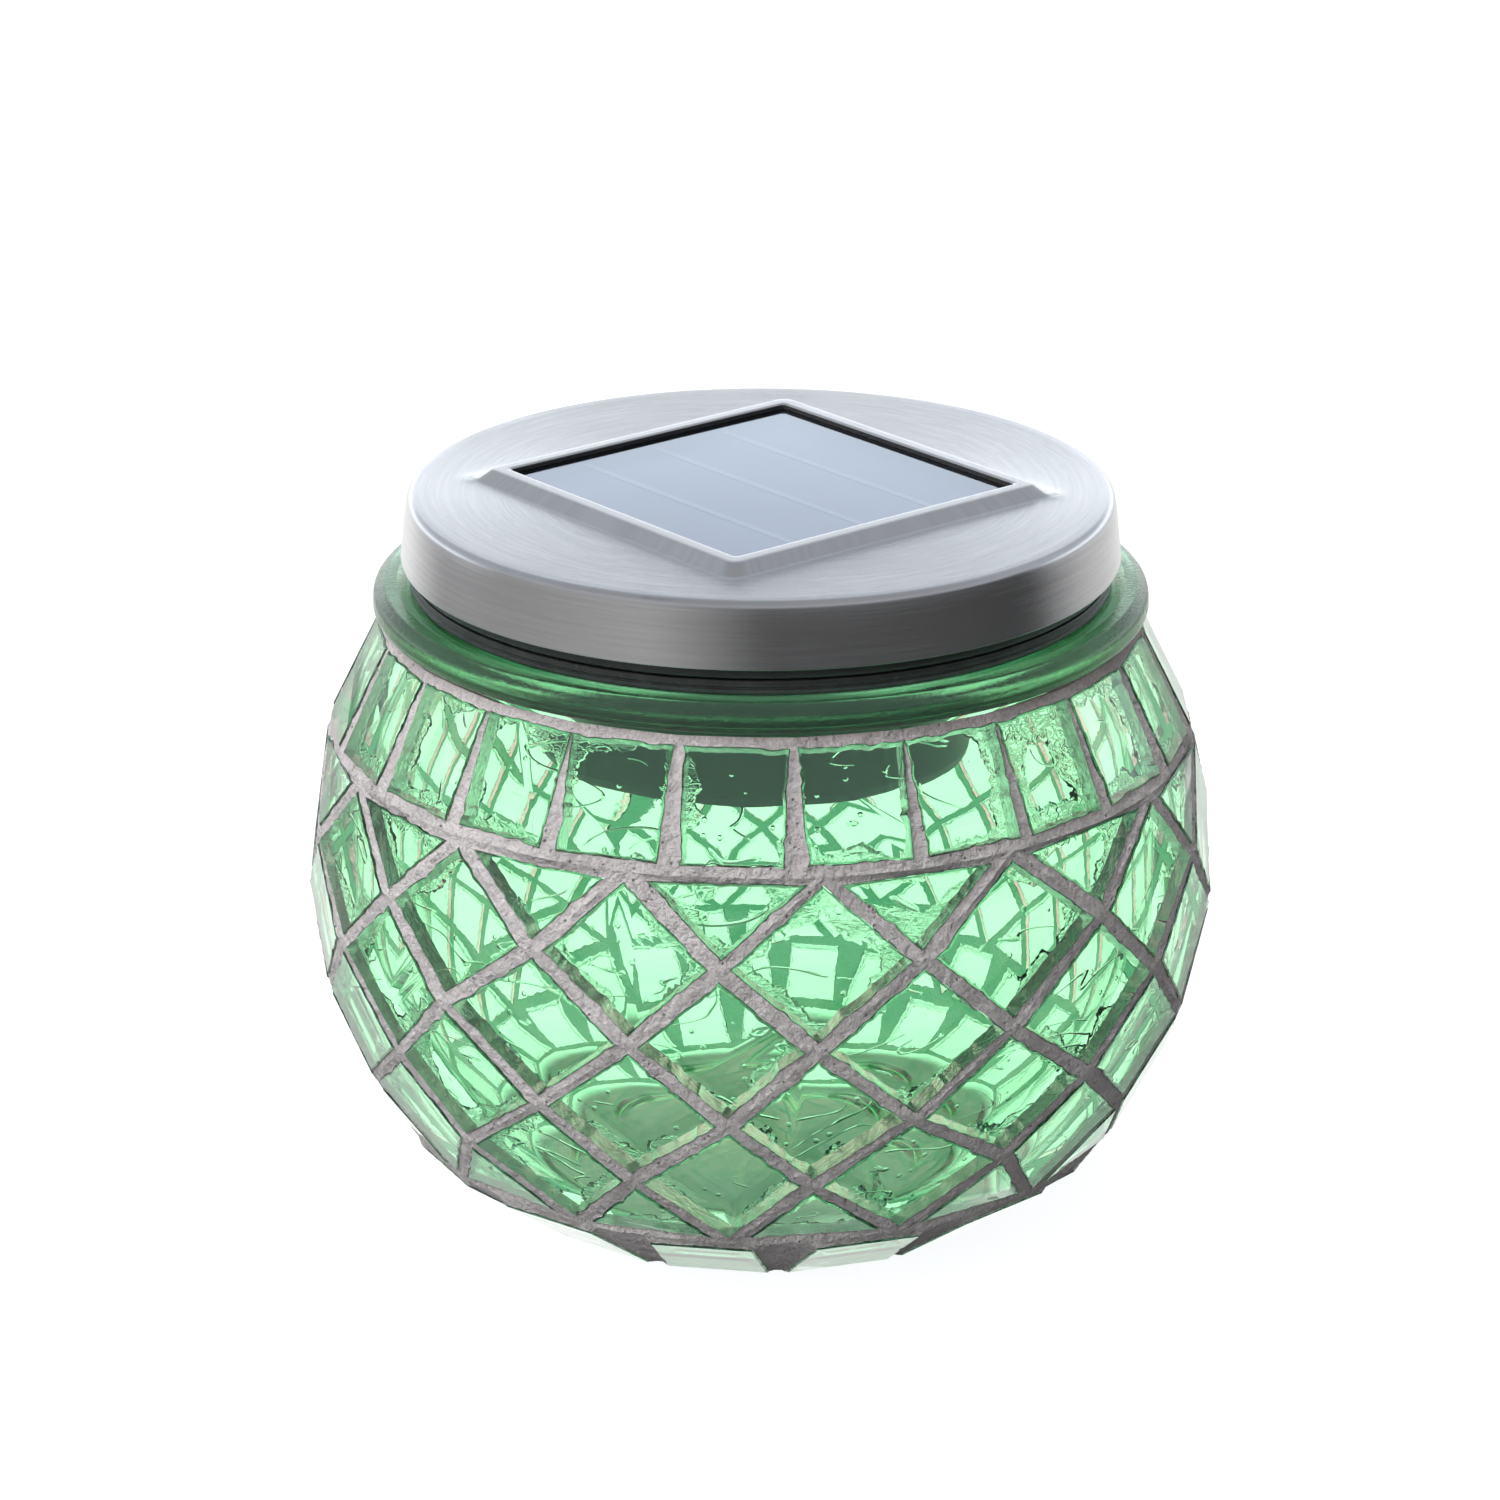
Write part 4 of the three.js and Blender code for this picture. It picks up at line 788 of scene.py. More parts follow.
for k in range(14):
    l, r = r2_top[k], at(r2_top, k + 1)
    cells.append(dict(row="tiles_base_rectangles", rect=R2, outline=[r2_low[k], at(r2_low, k + 1), r] + between(ring_f, l, r)[::-1] + [l]))


def inset_polygon(q, d):
    """Moves each edge of an anticlockwise polygon in by d (a number or one per edge)."""
    n = len(q)
    d = [d] * n if np.isscalar(d) else d
    lines = []
    for i in range(n):
        a, b = np.array(q[i]), np.array(q[(i + 1) % n])
        e = (b - a) / np.linalg.norm(b - a)
        lines.append((a + np.array((-e[1], e[0])) * d[i], e))
    out = []
    for i in range(n):
        m0, d0 = lines[i - 1]
        m1, d1 = lines[i]
        k = ((m1[0] - m0[0]) * d1[1] - (m1[1] - m0[1]) * d1[0]) / (d0[0] * d1[1] - d0[1] * d1[0])
        out.append(m0 + d0 * k)
    return out


for n, cell in enumerate(cells):
    if "rect" in cell:
        R = cell["rect"]
        o = cell["outline"]
        l, r = (nodes[o[0]][0], nodes[o[-3] if R is R1 else o[1]][0])
        mid = l + norm(r - l) / 2
        half = lambda arc: math.degrees(R["width"] / 2 / section(arc)[0])
        p = [on_body(a, mid + s * half(a)) for a, s in ((R["bottom"], -1), (R["bottom"], 1), (R["top"], 1), (R["top"], -1))]
        centre = sum(p) / 4
        u = (p[1] - p[0]) / np.linalg.norm(p[1] - p[0])
        up = (p[2] + p[3] - p[0] - p[1]) / 2
        v = up - u * (up @ u)
        h = np.linalg.norm(v) / 2
        v = v / np.linalg.norm(v)
        normal = np.cross(u, v)
        w, t = R["width"] / 2 + 0.25 * spread(n, 3), 0.018 * spread(n, 5)
        flat = [np.array((x - t * y, y + t * x)) for x, y in ((-w, -h), (w, -h), (w, h), (-w, h))]
    else:
        p = [nodes[q][2] for q in cell["corners"]]
        centre = sum(p) / len(p)
        normal = np.cross(p[2] - p[0], p[3] - p[1]) if len(p) == 4 else np.cross(p[1] - p[0], p[2] - p[0])
        normal /= np.linalg.norm(normal)
        u = np.cross((0, 0, 1), normal)
        u /= np.linalg.norm(u)
        v = np.cross(normal, u)
        q = [np.array(((w - centre) @ u, (w - centre) @ v)) for w in p]
        lines = []
        for i, s in enumerate(q):
            e = q[(i + 1) % len(q)]
            dx, dy = e - s
            l = math.hypot(dx, dy)
            inset = JOINT * cell["edges"][i] * (1 + 0.22 * spread(n, 11 + i))
            turn = 0.012 * spread(n, 21 + i)
            c_, s_ = cos(turn), sin(turn)
            lines.append((np.array(((s[0] + e[0]) / 2 - dy / l * inset, (s[1] + e[1]) / 2 + dx / l * inset)),
                          np.array(((dx * c_ - dy * s_) / l, (dx * s_ + dy * c_) / l))))
        flat = []
        for i, (m1, d1) in enumerate(lines):
            m0, d0 = lines[i - 1]
            k = ((m1[0] - m0[0]) * d1[1] - (m1[1] - m0[1]) * d1[0]) / (d0[0] * d1[1] - d0[1] * d1[0])
            flat.append(m0 + d0 * k)
    cell.update(n=n, centre=centre, normal=normal, u=u, v=v, flat=flat)


def place(cell, xy, sink):
    xy = np.asarray(xy, float)
    sink = np.broadcast_to(np.asarray(sink, float), (len(xy),))
    return cell["centre"] + xy[:, :1] * cell["u"] + xy[:, 1:] * cell["v"] - sink[:, None] * cell["normal"]


def ragged(n, i, t, length):
    """How far the nipped edge i of tile n falls short of a straight cut, in mm."""
    s = t * length
    f = noise.noise(Vector((s * 0.55, n * 7.31, i * 3.17))) + 0.55 * noise.noise(Vector((s * 1.5, n * 5.07, i * 9.1)))
    return 0.42 * max(0.0, f + 0.05) * min(1.0, s / 0.9) * min(1.0, (length - s) / 0.9)


# ------------------------------------------------------------------ glass jar
foot = [(0, 5.0), (6, 4.85), (12, 4.2), (17, 2.7), (20.2, 0.9), (21.5, 0.25), (22.6, 0.02), (27.6, 0.02), (28.7, 0.3), (29.3, 0.95)]
rim = fillet([(43.2, 77.6, 0.6), (47.9, 77.72, 0.7), (48.62, 78.7, 0.8), (48.5, 80.4, 1.2), (47.2, 81.35, 0.9), (45.6, 81.38, 0.5), (44.3, 80.9, 0.5), (41.2, 80.62, 0.5), (40.1, 80.1, 0.5), (40.1, 77.5, 0.8)], 5)
inner_floor = [(26.5, 4.35), (23.0, 4.1), (19.5, 5.1), (16, 6.9), (11, 8.2), (5.5, 8.75), (0, 8.9)]
jar_profile = foot + JAR_OUT[::-1] + rim + JAR_IN + smoothed([JAR_IN[-1]] + inner_floor, 1)[1:]
jar = lathe("glass_jar_blown", jar_profile, [M["jar"]], "jar", ["glass_jar"], "green_glass", n=224, angle=50)
co = np.zeros(len(jar.data.vertices) * 3)
jar.data.vertices.foreach_get("co", co)
co = co.reshape(-1, 3) / MM
glued = (np.abs(jar_distance(co)) < 0.35) & (co[:, 2] > 1.3) & (co[:, 2] < 76.6)
jar.data.attributes.new("bonded", "FLOAT", "POINT").data.foreach_set("value", glued.astype(np.float32))


# ---------------------------------------------------------------------- grout
def grout():
    P2, tri, hole_of = [], [], {}          # points, triangles, boundary point -> (cell, x, y)
    P = []
    base = {}

    def node_point(q):
        if q not in base:
            base[q] = len(P)
            P.append(on_body(nodes[q][1], nodes[q][0], PROUD))
        return base[q]

    edge_pts = {}

    def along(a, b):
        """Shared points between two crossings, from a to b, a included."""
        key = (min(a, b), max(a, b))
        if key not in edge_pts:
            i, j = key
            A, B = nodes[i], nodes[j]
            length = np.linalg.norm(A[2] - B[2])
            n = max(1, int(round(length / 1.1)))
            d = (B[0] - A[0] + 180) % 360 - 180
            pts = []
            for k in range(1, n):
                t = k / n
                arc = A[1] + (B[1] - A[1]) * t
                chord = P[node_point(i)] * (1 - t) + P[node_point(j)] * t
                body = on_body(arc, A[0] + d * t, PROUD)
                pts.append(len(P))
                P.append(chord * 0.55 + body * 0.45)
            edge_pts[key] = pts
        mid = edge_pts[key]
        return [node_point(a)] + (mid if a < b else mid[::-1])

    for cell in cells:
        flat, m = cell["flat"], len(cell["flat"])
        hole = []
        low = inset_polygon(flat, TAPER - 0.06)
        for i in range(m):
            a, b = flat[i], flat[(i + 1) % m]
            n = max(2, int(round(np.linalg.norm(b - a) / 0.8)))
            length = np.linalg.norm(b - a)
            inward = np.array((-(b - a)[1], (b - a)[0])) / length
            for k in range(n):
                nip = inward * ragged(cell["n"], i, k / n, length)
                xy = a + (b - a) * k / n + nip
                hole.append((xy, len(P)))
                hole_of[len(P)] = (cell["n"], low[i] + (low[(i + 1) % m] - low[i]) * k / n + nip)
                P.append(place(cell, [xy], PROUD)[0])
        cell["hole"] = [h[1] for h in hole]
        out = []
        o = cell["outline"]
        for i in range(len(o)):
            out += along(o[i], o[(i + 1) % len(o)])
        rimA = []
        for q in out:
            d = P[q] - cell["centre"]
            rimA.append((math.atan2(d @ cell["v"], d @ cell["u"]), q))
        holeB = [(math.atan2(xy[1], xy[0]), q) for xy, q in hole]

        def spin(seq):
            k = min(range(len(seq)), key=lambda i: seq[i][0])
            return seq[k:] + seq[:k]
        A, B = spin(rimA), spin(holeB)
        pos = lambda seq, k: seq[k % len(seq)][0] + (2 * pi if k >= len(seq) else 0)
        i = j = 0
        while i < len(A) or j < len(B):
            pa, pb = A[i % len(A)][1], B[j % len(B)][1]
            if j >= len(B) or (i < len(A) and pos(A, i + 1) <= pos(B, j + 1)):
                tri.append((pa, A[(i + 1) % len(A)][1], pb))
                i += 1
            else:
                tri.append((pa, B[(j + 1) % len(B)][1], pb))
                j += 1
    P = np.array(P)
    bm = bmesh.new()
    tag = bm.verts.layers.int.new("own")
    vs = []
    for k, p in enumerate(P):
        v = bm.verts.new(p)
        v[tag] = k + 1
        vs.append(v)
    for t in tri:
        if len(set(t)) == 3:
            try:
                bm.faces.new([vs[i] for i in t])
            except ValueError:
                pass
    for _ in range(3):
        long_edges = [e for e in bm.edges if not e.is_boundary and e.calc_length() > 0.85]
        if not long_edges:
            break
        r = bmesh.ops.subdivide_edges(bm, edges=long_edges, cuts=1)
        for v in r["geom_inner"]:
            if isinstance(v, bmesh.types.BMVert):
                v[tag] = 0
        bmesh.ops.triangulate(bm, faces=bm.faces, quad_method="SHORT_EDGE", ngon_method="BEAUTY")
    bm.verts.ensure_lookup_table()
    bm.verts.index_update()
    top = np.array([v.co[:] for v in bm.verts])
    own = np.array([v[tag] for v in bm.verts]) - 1
    faces = [[v.index for v in f.verts] for f in bm.faces]
    border = [(l.vert.index, l.link_loop_next.vert.index) for e in bm.edges if e.is_boundary for l in e.link_loops]
    bm.free()
    # normals of the body at every point
    L = np.array([section(a) for a in np.arange(5.0, 93.0, 0.5)])
    rr, zz = np.hypot(top[:, 0], top[:, 1]), top[:, 2]
    k = ((rr[:, None] - L[:, 0]) ** 2 + (zz[:, None] - L[:, 1]) ** 2).argmin(1)
    ang = np.arctan2(top[:, 1], top[:, 0])
    N = np.stack([L[k, 2] * np.cos(ang), L[k, 2] * np.sin(ang), L[k, 3]], 1)
    cell_of = np.full(len(top), -1)
    start = top.copy()
    for i, q in enumerate(own):
        if q in hole_of:
            cell_of[i] = hole_of[q][0]
            N[i] = cells[cell_of[i]]["normal"]
            start[i] = place(cells[cell_of[i]], [hole_of[q][1]], PROUD)[0]
    depth = depth_to_jar(start, N, 0.10, 0.6, 7.0)
    bottom = start - N * depth[:, None]
    # rough, slightly hollow face
    out = top.copy()
    for i in range(len(top)):
        v = Vector(top[i])
        f = noise.noise(v * 0.45) * 0.17 + noise.noise(v * 1.2) * 0.15
        if cell_of[i] < 0:
            out[i] += N[i] * (f - 0.06)
        else:
            out[i] += N[i] * (0.6 * f + 0.12 + 0.10 * noise.noise(v * 0.9 + Vector((9, 0, 0))))
    n = len(top)
    verts = np.vstack([out, bottom])
    F = [tuple(f) for f in faces] + [tuple(i + n for i in f[::-1]) for f in faces]
    F += [(b, a, a + n, b + n) for a, b in border]
    return obj("grout_cast", verts, F, [M["grout"]], "jar", ["grout_lattice"], "grout", angle=50, fix=True)


grout()


# ---------------------------------------------------------------------- tiles
def tile(cell, m):
    """One piece of hand-cut glass: (verts, faces, material index, edge distance)."""
    n = cell["n"]
    body = inset_polygon(cell["flat"], TILE_GAP - 0.05)
    k = len(body)
    cham = [0.16 + 0.07 * spread(n, 40 + i) for i in range(k)]
    face = inset_polygon(body, cham)
    c = sum(body) / k

    def grid(poly):
        """Corner quads, each (m+1) x (m+1); returns points and index grids."""
        pts, where = [], {}

        def idx(xy):
            key = (round(xy[0], 5), round(xy[1], 5))
            if key not in where:
                where[key] = len(pts)
                pts.append(xy)
            return where[key]
        quads = []
        for i in range(k):
            p0, p1 = poly[i], (poly[i] + poly[(i + 1) % k]) / 2
            p3 = (poly[i] + poly[i - 1]) / 2
            g = [[idx((p0 * (1 - s) + p1 * s) * (1 - t) + (p3 * (1 - s) + c * s) * t) for s in np.linspace(0, 1, m + 1)] for t in np.linspace(0, 1, m + 1)]
            for a in range(m):
                for b in range(m):
                    quads.append((g[a][b], g[a][b + 1], g[a + 1][b + 1], g[a + 1][b]))
        ring = []
        for i in range(k):
            for s in range(2 * m):
                t = s / (2 * m)
                ring.append(idx(poly[i] * (1 - t) + poly[(i + 1) % k] * t))
        return np.array(pts), quads, ring

    low, quads, ring = grid(inset_polygon(cell["flat"], TILE_GAP - 0.05 + TAPER))
    push = np.zeros((len(ring), 2))
    for i in range(k):
        a, b = cell["flat"][i], cell["flat"][(i + 1) % k]
        length = np.linalg.norm(b - a)
        inward = np.array((-(b - a)[1], (b - a)[0])) / length
        for s in range(2 * m):
            push[i * 2 * m + s] = inward * ragged(n, i, s / (2 * m), length)
    low[ring] += push
    # distance of each low point from the tile's edge
    e = np.full(len(low), 1e9)
    for i in range(k):
        a, b = body[i], body[(i + 1) % k]
        d = (b - a) / np.linalg.norm(b - a)
        e = np.minimum(e, (low[:, 0] - a[0]) * -d[1] + (low[:, 1] - a[1]) * d[0])
    depth = depth_to_jar(place(cell, low, 0.0), cell["normal"], 0.06, 1.2, 5.4)
    lift = np.array([0.5 + 0.5 * noise.noise(Vector((*(q * 0.16), n * 3.7))) for q in low])
    depth = depth - 0.05 * lift
    V = [place(cell, low, depth)]
    F, I = [tuple(q[::-1]) for q in quads], [2] * len(quads)
    R = len(ring)
    base = len(low)
    wob = np.array([0.06 * noise.noise(Vector((*(low[q] * 1.3), n))) for q in ring])
    to_c = np.array([(c - low[q]) / np.linalg.norm(c - low[q]) for q in ring])
    rim_low = np.array([body[i] * (1 - s / (2 * m)) + body[(i + 1) % k] * s / (2 * m) for i in range(k) for s in range(2 * m)]) + push + to_c * wob[:, None].clip(0, 1)
    # outer ring just under the chamfer
    V.append(place(cell, rim_low, np.array([0.16 + 0.05 * noise.noise(Vector((*(low[q] * 0.9), n + 5))) for q in ring])))
    fp = []
    for i in range(k):
        for s in range(2 * m):
            t = s / (2 * m)
            fp.append(face[i] * (1 - t) + face[(i + 1) % k] * t)
    fp = np.array(fp) + push + to_c * np.abs(np.array([0.07 * noise.noise(Vector((*(low[q] * 1.1), n + 9))) for q in ring]))[:, None]
    V.append(place(cell, fp, 0.0))
    for s in range(R):
        s2 = (s + 1) % R
        F.append((ring[s], ring[s2], base + s2, base + s))
        I.append(1)
        F.append((base + s, base + s2, base + R + s2, base + R + s))
        I.append(1)
    F.append(tuple(range(base + R, base + 2 * R)))
    I.append(0)
    edge = np.concatenate([e, np.zeros(2 * R)])
    return np.vstack(V), F, I, edge


ROWS = {}
for cell in cells:
    ROWS.setdefault(cell["row"], []).append(cell)
for row, members in ROWS.items():
    V, F, I, E, G = [], [], [], [], []
    count = 0
    for cell in members:
        size = 12 if len(cell["flat"]) == 4 else 10
        v, f, i, e = tile(cell, size)
        F += [tuple(q + count for q in g) for g in f]
        V.append(v)
        I += i
        E.append(e)
        starve = 0.22 + 0.45 * (0.5 + 0.5 * spread(cell["n"], 61))
        side = math.degrees(math.atan2(cell["centre"][0], -cell["centre"][1]))
        if row == "tiles_upper_rectangles":
            starve += 0.40 if 34 < side < 82 else 0.12
        G.append(np.full(len(v), starve))
        count += len(v)
    o = obj(row + "_cut", np.vstack(V), F, [M["tile"], M["tile_side"], M["tile_back"]], "jar", [row], "clear_tile_glass", angle=32, index=I)
    for key, data in (("edge", np.concatenate(E)), ("glue", np.concatenate(G))):
        o.data.attributes.new(key, "FLOAT", "POINT").data.foreach_set("value", data.astype(np.float32))


# ------------------------------------------------------------------ neck seal
seal_profile = fillet([(38.4, 76.6, 0.2), (39.3, 76.6, 0.3), (39.85, 77.4, 0.3), (39.45, 78.2, 0.2), (39.45, 81.05, 0.3), (41.2, 81.05, 0.1), (41.6, 81.35, 0.15), (42.0, 81.05, 0.1), (43.85, 81.05, 0.3),
                       (43.9, 81.75, 0.1), (43.6, 81.95, 0.1), (43.9, 82.15, 0.1), (43.85, 82.9, 0.25), (38.4, 82.9, 0.25)], 4)
lathe("neck_seal_moulded", seal_profile, [M["seal"]], "seal", ["neck_seal_ring"], "seal_rubber", n=160, angle=40)


# ------------------------------------------------------------------ steel lid
def square_radius(theta, half, rc):
    """Distance from the centre to a rounded square's edge, turned with the panel."""
    a = theta - math.radians(PANEL_TURN)
    c, s = abs(cos(a)), abs(sin(a))
    if c < s:
        c, s = s, c
    t = half / c
    if s * t <= half - rc:
        return t
    q = half - rc
    b = q * (c + s)
    return b + math.sqrt(max(0.0, b * b - (2 * q * q - rc * rc)))


def lid():
    thetas = [2 * pi * k / 256 for k in range(256)]
    for k in range(4):
        mid = math.radians(PANEL_TURN + 45 + 90 * k)
        thetas += [mid + math.radians(d) for d in np.linspace(-4.2, 4.2, 29)]
    thetas = sorted({round(t % (2 * pi), 6) for t in thetas})
    thetas = [t for i, t in enumerate(thetas) if i == 0 or t - thetas[i - 1] > 0.002]
    n = len(thetas)
    rows = []
    S = lambda half, rc, z: rows.append(("s", half, rc, z))
    C = lambda r, z: rows.append(("c", r, 0, z))
    crown = lambda r: 92.80 - 0.14 * (r / 43.0) ** 3
    # window edge, frame top, slope
    for half, rc, z in ((22.35, 0.6, 93.62), (22.35, 0.6, 93.92), (22.38, 0.62, 94.01), (22.45, 0.66, 94.07), (22.56, 0.72, 94.1), (22.9, 0.85, 94.1), (23.7, 1.1, 94.1), (24.15, 1.3, 94.09),
                        (24.33, 1.4, 94.06), (24.48, 1.5, 93.98), (24.62, 1.55, 93.87), (25.0, 1.7, 93.56), (25.45, 1.9, 93.21), (25.62, 2.0, 93.07), (25.78, 2.05, 92.95), (25.95, 2.1, 92.87), (26.2, 2.2, 92.81), (26.6, 2.4, 92.785)):
        S(half, rc, z)
    for t in (0.08, 0.2, 0.35, 0.5, 0.65, 0.8, 0.92):
        rows.append(("m", t, 0, 0))
    for r in (40.2, 41.0, 41.8, 42.3):
        C(r, crown(r))
    edge = fillet([(41.0, crown(41.0)), (43.95, 92.62, 1.35), (44.3, 91.0), (44.3, 90.0)], 8)
    for r, z in edge[1:-2]:
        C(r, z)
    for z in (90.6, 89.6, 88.6, 87.6, 86.6, 85.6):
        C(44.3 + (91.0 - z) * 0.7 / 6.5, z)
    for r, z in ((44.97, 84.85), (44.99, 84.62), (44.95, 84.54), (44.85, 84.5), (44.65, 84.5), (44.55, 84.54), (44.51, 84.64)):
        C(r, z)
    for z in (85.6, 87.6, 89.6):
        C(44.5 - (z - 84.5) * 0.7 / 6.5, z)
    for r, z in fillet([(43.9, 90.0), (43.82, 90.9), (43.5, 92.12, 0.85), (41.0, 92.22), (40.0, 92.22)], 5)[1:-1]:
        C(r, z)
    for t in (0.85, 0.6, 0.35, 0.12):
        rows.append(("u", t, 0, 0))
    for half, rc, z in ((26.1, 2.1, 92.27), (25.6, 1.8, 92.32), (25.4, 1.75, 92.42), (24.3, 1.3, 93.32), (24.05, 1.2, 93.52), (23.8, 1.1, 93.6), (22.6, 0.65, 93.6)):
        S(half, rc, z)
    verts = []
    for kind, a, b, z in rows:
        for th in thetas:
            if kind == "s":
                r, zz = square_radius(th, a, b), z
            elif kind == "c":
                r, zz = a, z
            elif kind == "m":
                r0 = square_radius(th, 26.6, 2.4)
                r = r0 * (1 - a) + 40.2 * a
                zz = 92.785 * (1 - a) ** 4 + crown(r) * (1 - (1 - a) ** 4)
            else:
                r0 = square_radius(th, 26.1, 2.1)
                r, zz = r0 * (1 - a) + 41.0 * a, 92.24
            verts.append((r * cos(th), r * sin(th), zz))
    faces = []
    m = len(rows)
    for i in range(m):
        for k in range(n):
            k2, i2 = (k + 1) % n, (i + 1) % m
            faces.append((i * n + k, i2 * n + k, i2 * n + k2, i * n + k2))
    obj("steel_lid_spun", verts, faces, [M["steel"]], "lid", ["steel_lid_cap"], "lid_steel", angle=60, fix=True)


lid()


# ---------------------------------------------------------------- solar panel
def frame_loop(name, outer, inner, z0, z1, mats, nodes_, slot, r=0.5):
    n, verts, faces = 120, [], []
    th = sorted({round(2 * pi * k / n, 6) for k in range(n)} | {round((math.radians(PANEL_TURN + 45 + 90 * k + d)) % (2 * pi), 6) for k in range(4) for d in np.linspace(-2, 2, 9)})
    rows = [(outer, z0 + 0.02), (outer, z1), (inner + 0.17, z1 + 0.01), (inner + 0.16, z1 + 0.37), (inner + 0.12, z1 + 0.41), (inner + 0.06, z1 + 0.41), (inner + 0.02, z1 + 0.37), (inner, z0 + 0.02), (inner + 0.02, z0), (outer - 0.02, z0)]
    for half, z in rows:
        for t in th:
            q = square_radius(t, half, r)
            verts.append((q * cos(t), q * sin(t), z))
    n, m = len(th), len(rows)
    for i in range(m):
        for k in range(n):
            faces.append((i * n + k, ((i + 1) % m) * n + k, ((i + 1) % m) * n + (k + 1) % n, i * n + (k + 1) % n))
    return obj(name, verts, faces, mats, "lid", nodes_, slot, 30, fix=True)


frame_loop("panel_gasket_cut", 23.6, 22.16, 93.43, 93.55, [M["foam"]], ["panel_gasket"], "gasket_foam")


def panel_slab(name, half, z0, z1, mat, nodes_, slot, bevel, x0=None, x1=None):
    v, f = turned_by(box_data(-half if x0 is None else x0, half if x1 is None else x1, -half, half, z0, z1), PANEL_TURN)
    o = obj(name, v, f, [mat], "lid", nodes_, slot, fix=True)
    return soften(o, bevel, 3)


panel_slab("panel_cover_ground", 23.2, 92.45, 93.4, M["cover"], ["panel_cover_plate"], "panel_cover", 0.14)
for i in range(4):
    x = (i - 1.5) * 11.2
    panel_slab(f"solar_cell_{i + 1}_film", 22.2, 92.12, 92.37, M["solar"], [f"solar_cell_{i + 1}"], "solar_silicon", 0.05, x - 5.42, x + 5.42)
panel_slab("panel_board_cut", 23.1, 91.06, 92.06, M["board"], ["panel_board"], "circuit_laminate", 0.1)

# ------------------------------------------------------ black tray and the cup
tray = temp("lid_tray_moulded", lathe_data(fillet([
    (0, 88.5), (36.4, 88.5, 0.8), (36.4, 77.0, 0.4), (37.7, 77.0, 0.3), (38.1, 77.5, 0.3), (38.1, 83.0, 0.3), (43.9, 83.0, 0.5), (43.9, 84.6, 0.3),
    (43.3, 91.0, 0.3), (42.3, 91.85, 0.3), (40.6, 91.85, 0.3), (40.6, 84.9, 0.5), (38.6, 84.9, 0.5), (38.6, 91.85, 0.3), (0, 91.85)], 4), 160))
tray.data.materials.append(M["black"])
boolean(tray, [temp("c1", turned_by(box_data(-23.4, 23.4, -23.4, 23.4, 91.0, 93), PANEL_TURN)), temp("c2", turned_by(box_data(-5, 5, -2.2, 2.2, 87, 91), PANEL_TURN))]
        + [temp(f"s{i}", lathe_data([(0, 88), (1.4, 88), (1.4, 91.2), (0, 91.2)], 24, c)) for i, c in enumerate(HOUSING_SCREWS)])
tray.data.polygons.foreach_set("use_smooth", [True] * len(tray.data.polygons))
tray.data.set_sharp_from_angle(angle=math.radians(32))
register(tray, "lid", ["lid_tray"])

zi = 62.4
cup = temp("electronics_cup_moulded", lathe_data(fillet([
    (0, 60.0), (27.4, 60.0, 0.9), (28.0, 61.5, 0.2), (28.0, 86.9, 0.6), (35.6, 86.9, 0.5), (35.6, 88.4, 0.4), (26.3, 88.4, 0.4), (26.3, zi, 0.6), (0, zi)], 5), 144))
cup.data.materials.append(M["black"])
adds = [temp(f"p{i}", lathe_data([(0, zi - 0.5), (2.4, zi - 0.5), (2.4, 65.8), (0, 65.8)], 32, c)) for i, c in enumerate(BOARD_POSTS)]
adds += [temp("boss", lathe_data([(0, zi - 0.5), (2.7, zi - 0.5), (2.7, 69.0), (0, 69.0)], 32, COVER_SCREW))]
adds += [temp(f"k{i}", box_data(*b)) for i, b in enumerate([(-20.9, -19.2, 3.2, 10.8, zi - 0.5, 71.5), (15.95, 16.9, 3.2, 10.8, zi - 0.5, 71.5),
                                                            (-13, 13, 0.0, 1.0, zi - 0.5, 67.5), (-13, 13, 13.0, 14.0, zi - 0.5, 67.5)])]
boolean(cup, adds, "UNION")
boolean(cup, [temp("d0", box_data(COVER[0] - 0.3, COVER[1] + 0.3, COVER[2] - 0.3, COVER[3] + 0.3, 59, 61.35)),
              temp("d1", box_data(-15.6, 15.7, CELL_Y - 5.7, CELL_Y + 5.7, 59, 63.5)),
              temp("d2", lathe_data([(0, 59), (2.95, 59), (2.95, 63), (0, 63)], 40, (LX, LY))),
              temp("d3", box_data(SX - 1.5, SX + 1.5 + SWITCH_TRAVEL, SY - 1.3, SY + 1.3, 59, 63)),
              temp("d4", lathe_data([(0, 59), (1.4, 59), (1.4, 68), (0, 68)], 24, COVER_SCREW))]
        + [temp(f"d5{i}", lathe_data([(0, 62.5), (1.2, 62.5), (1.2, 68), (0, 68)], 20, c)) for i, c in enumerate(BOARD_POSTS)]
        + [temp(f"d6{i}", lathe_data([(0, 86), (1.4, 86), (1.4, 89), (0, 89)], 24, c)) for i, c in enumerate(HOUSING_SCREWS)])
cup.data.polygons.foreach_set("use_smooth", [True] * len(cup.data.polygons))
cup.data.set_sharp_from_angle(angle=math.radians(32))
register(cup, "lid", ["electronics_cup"])


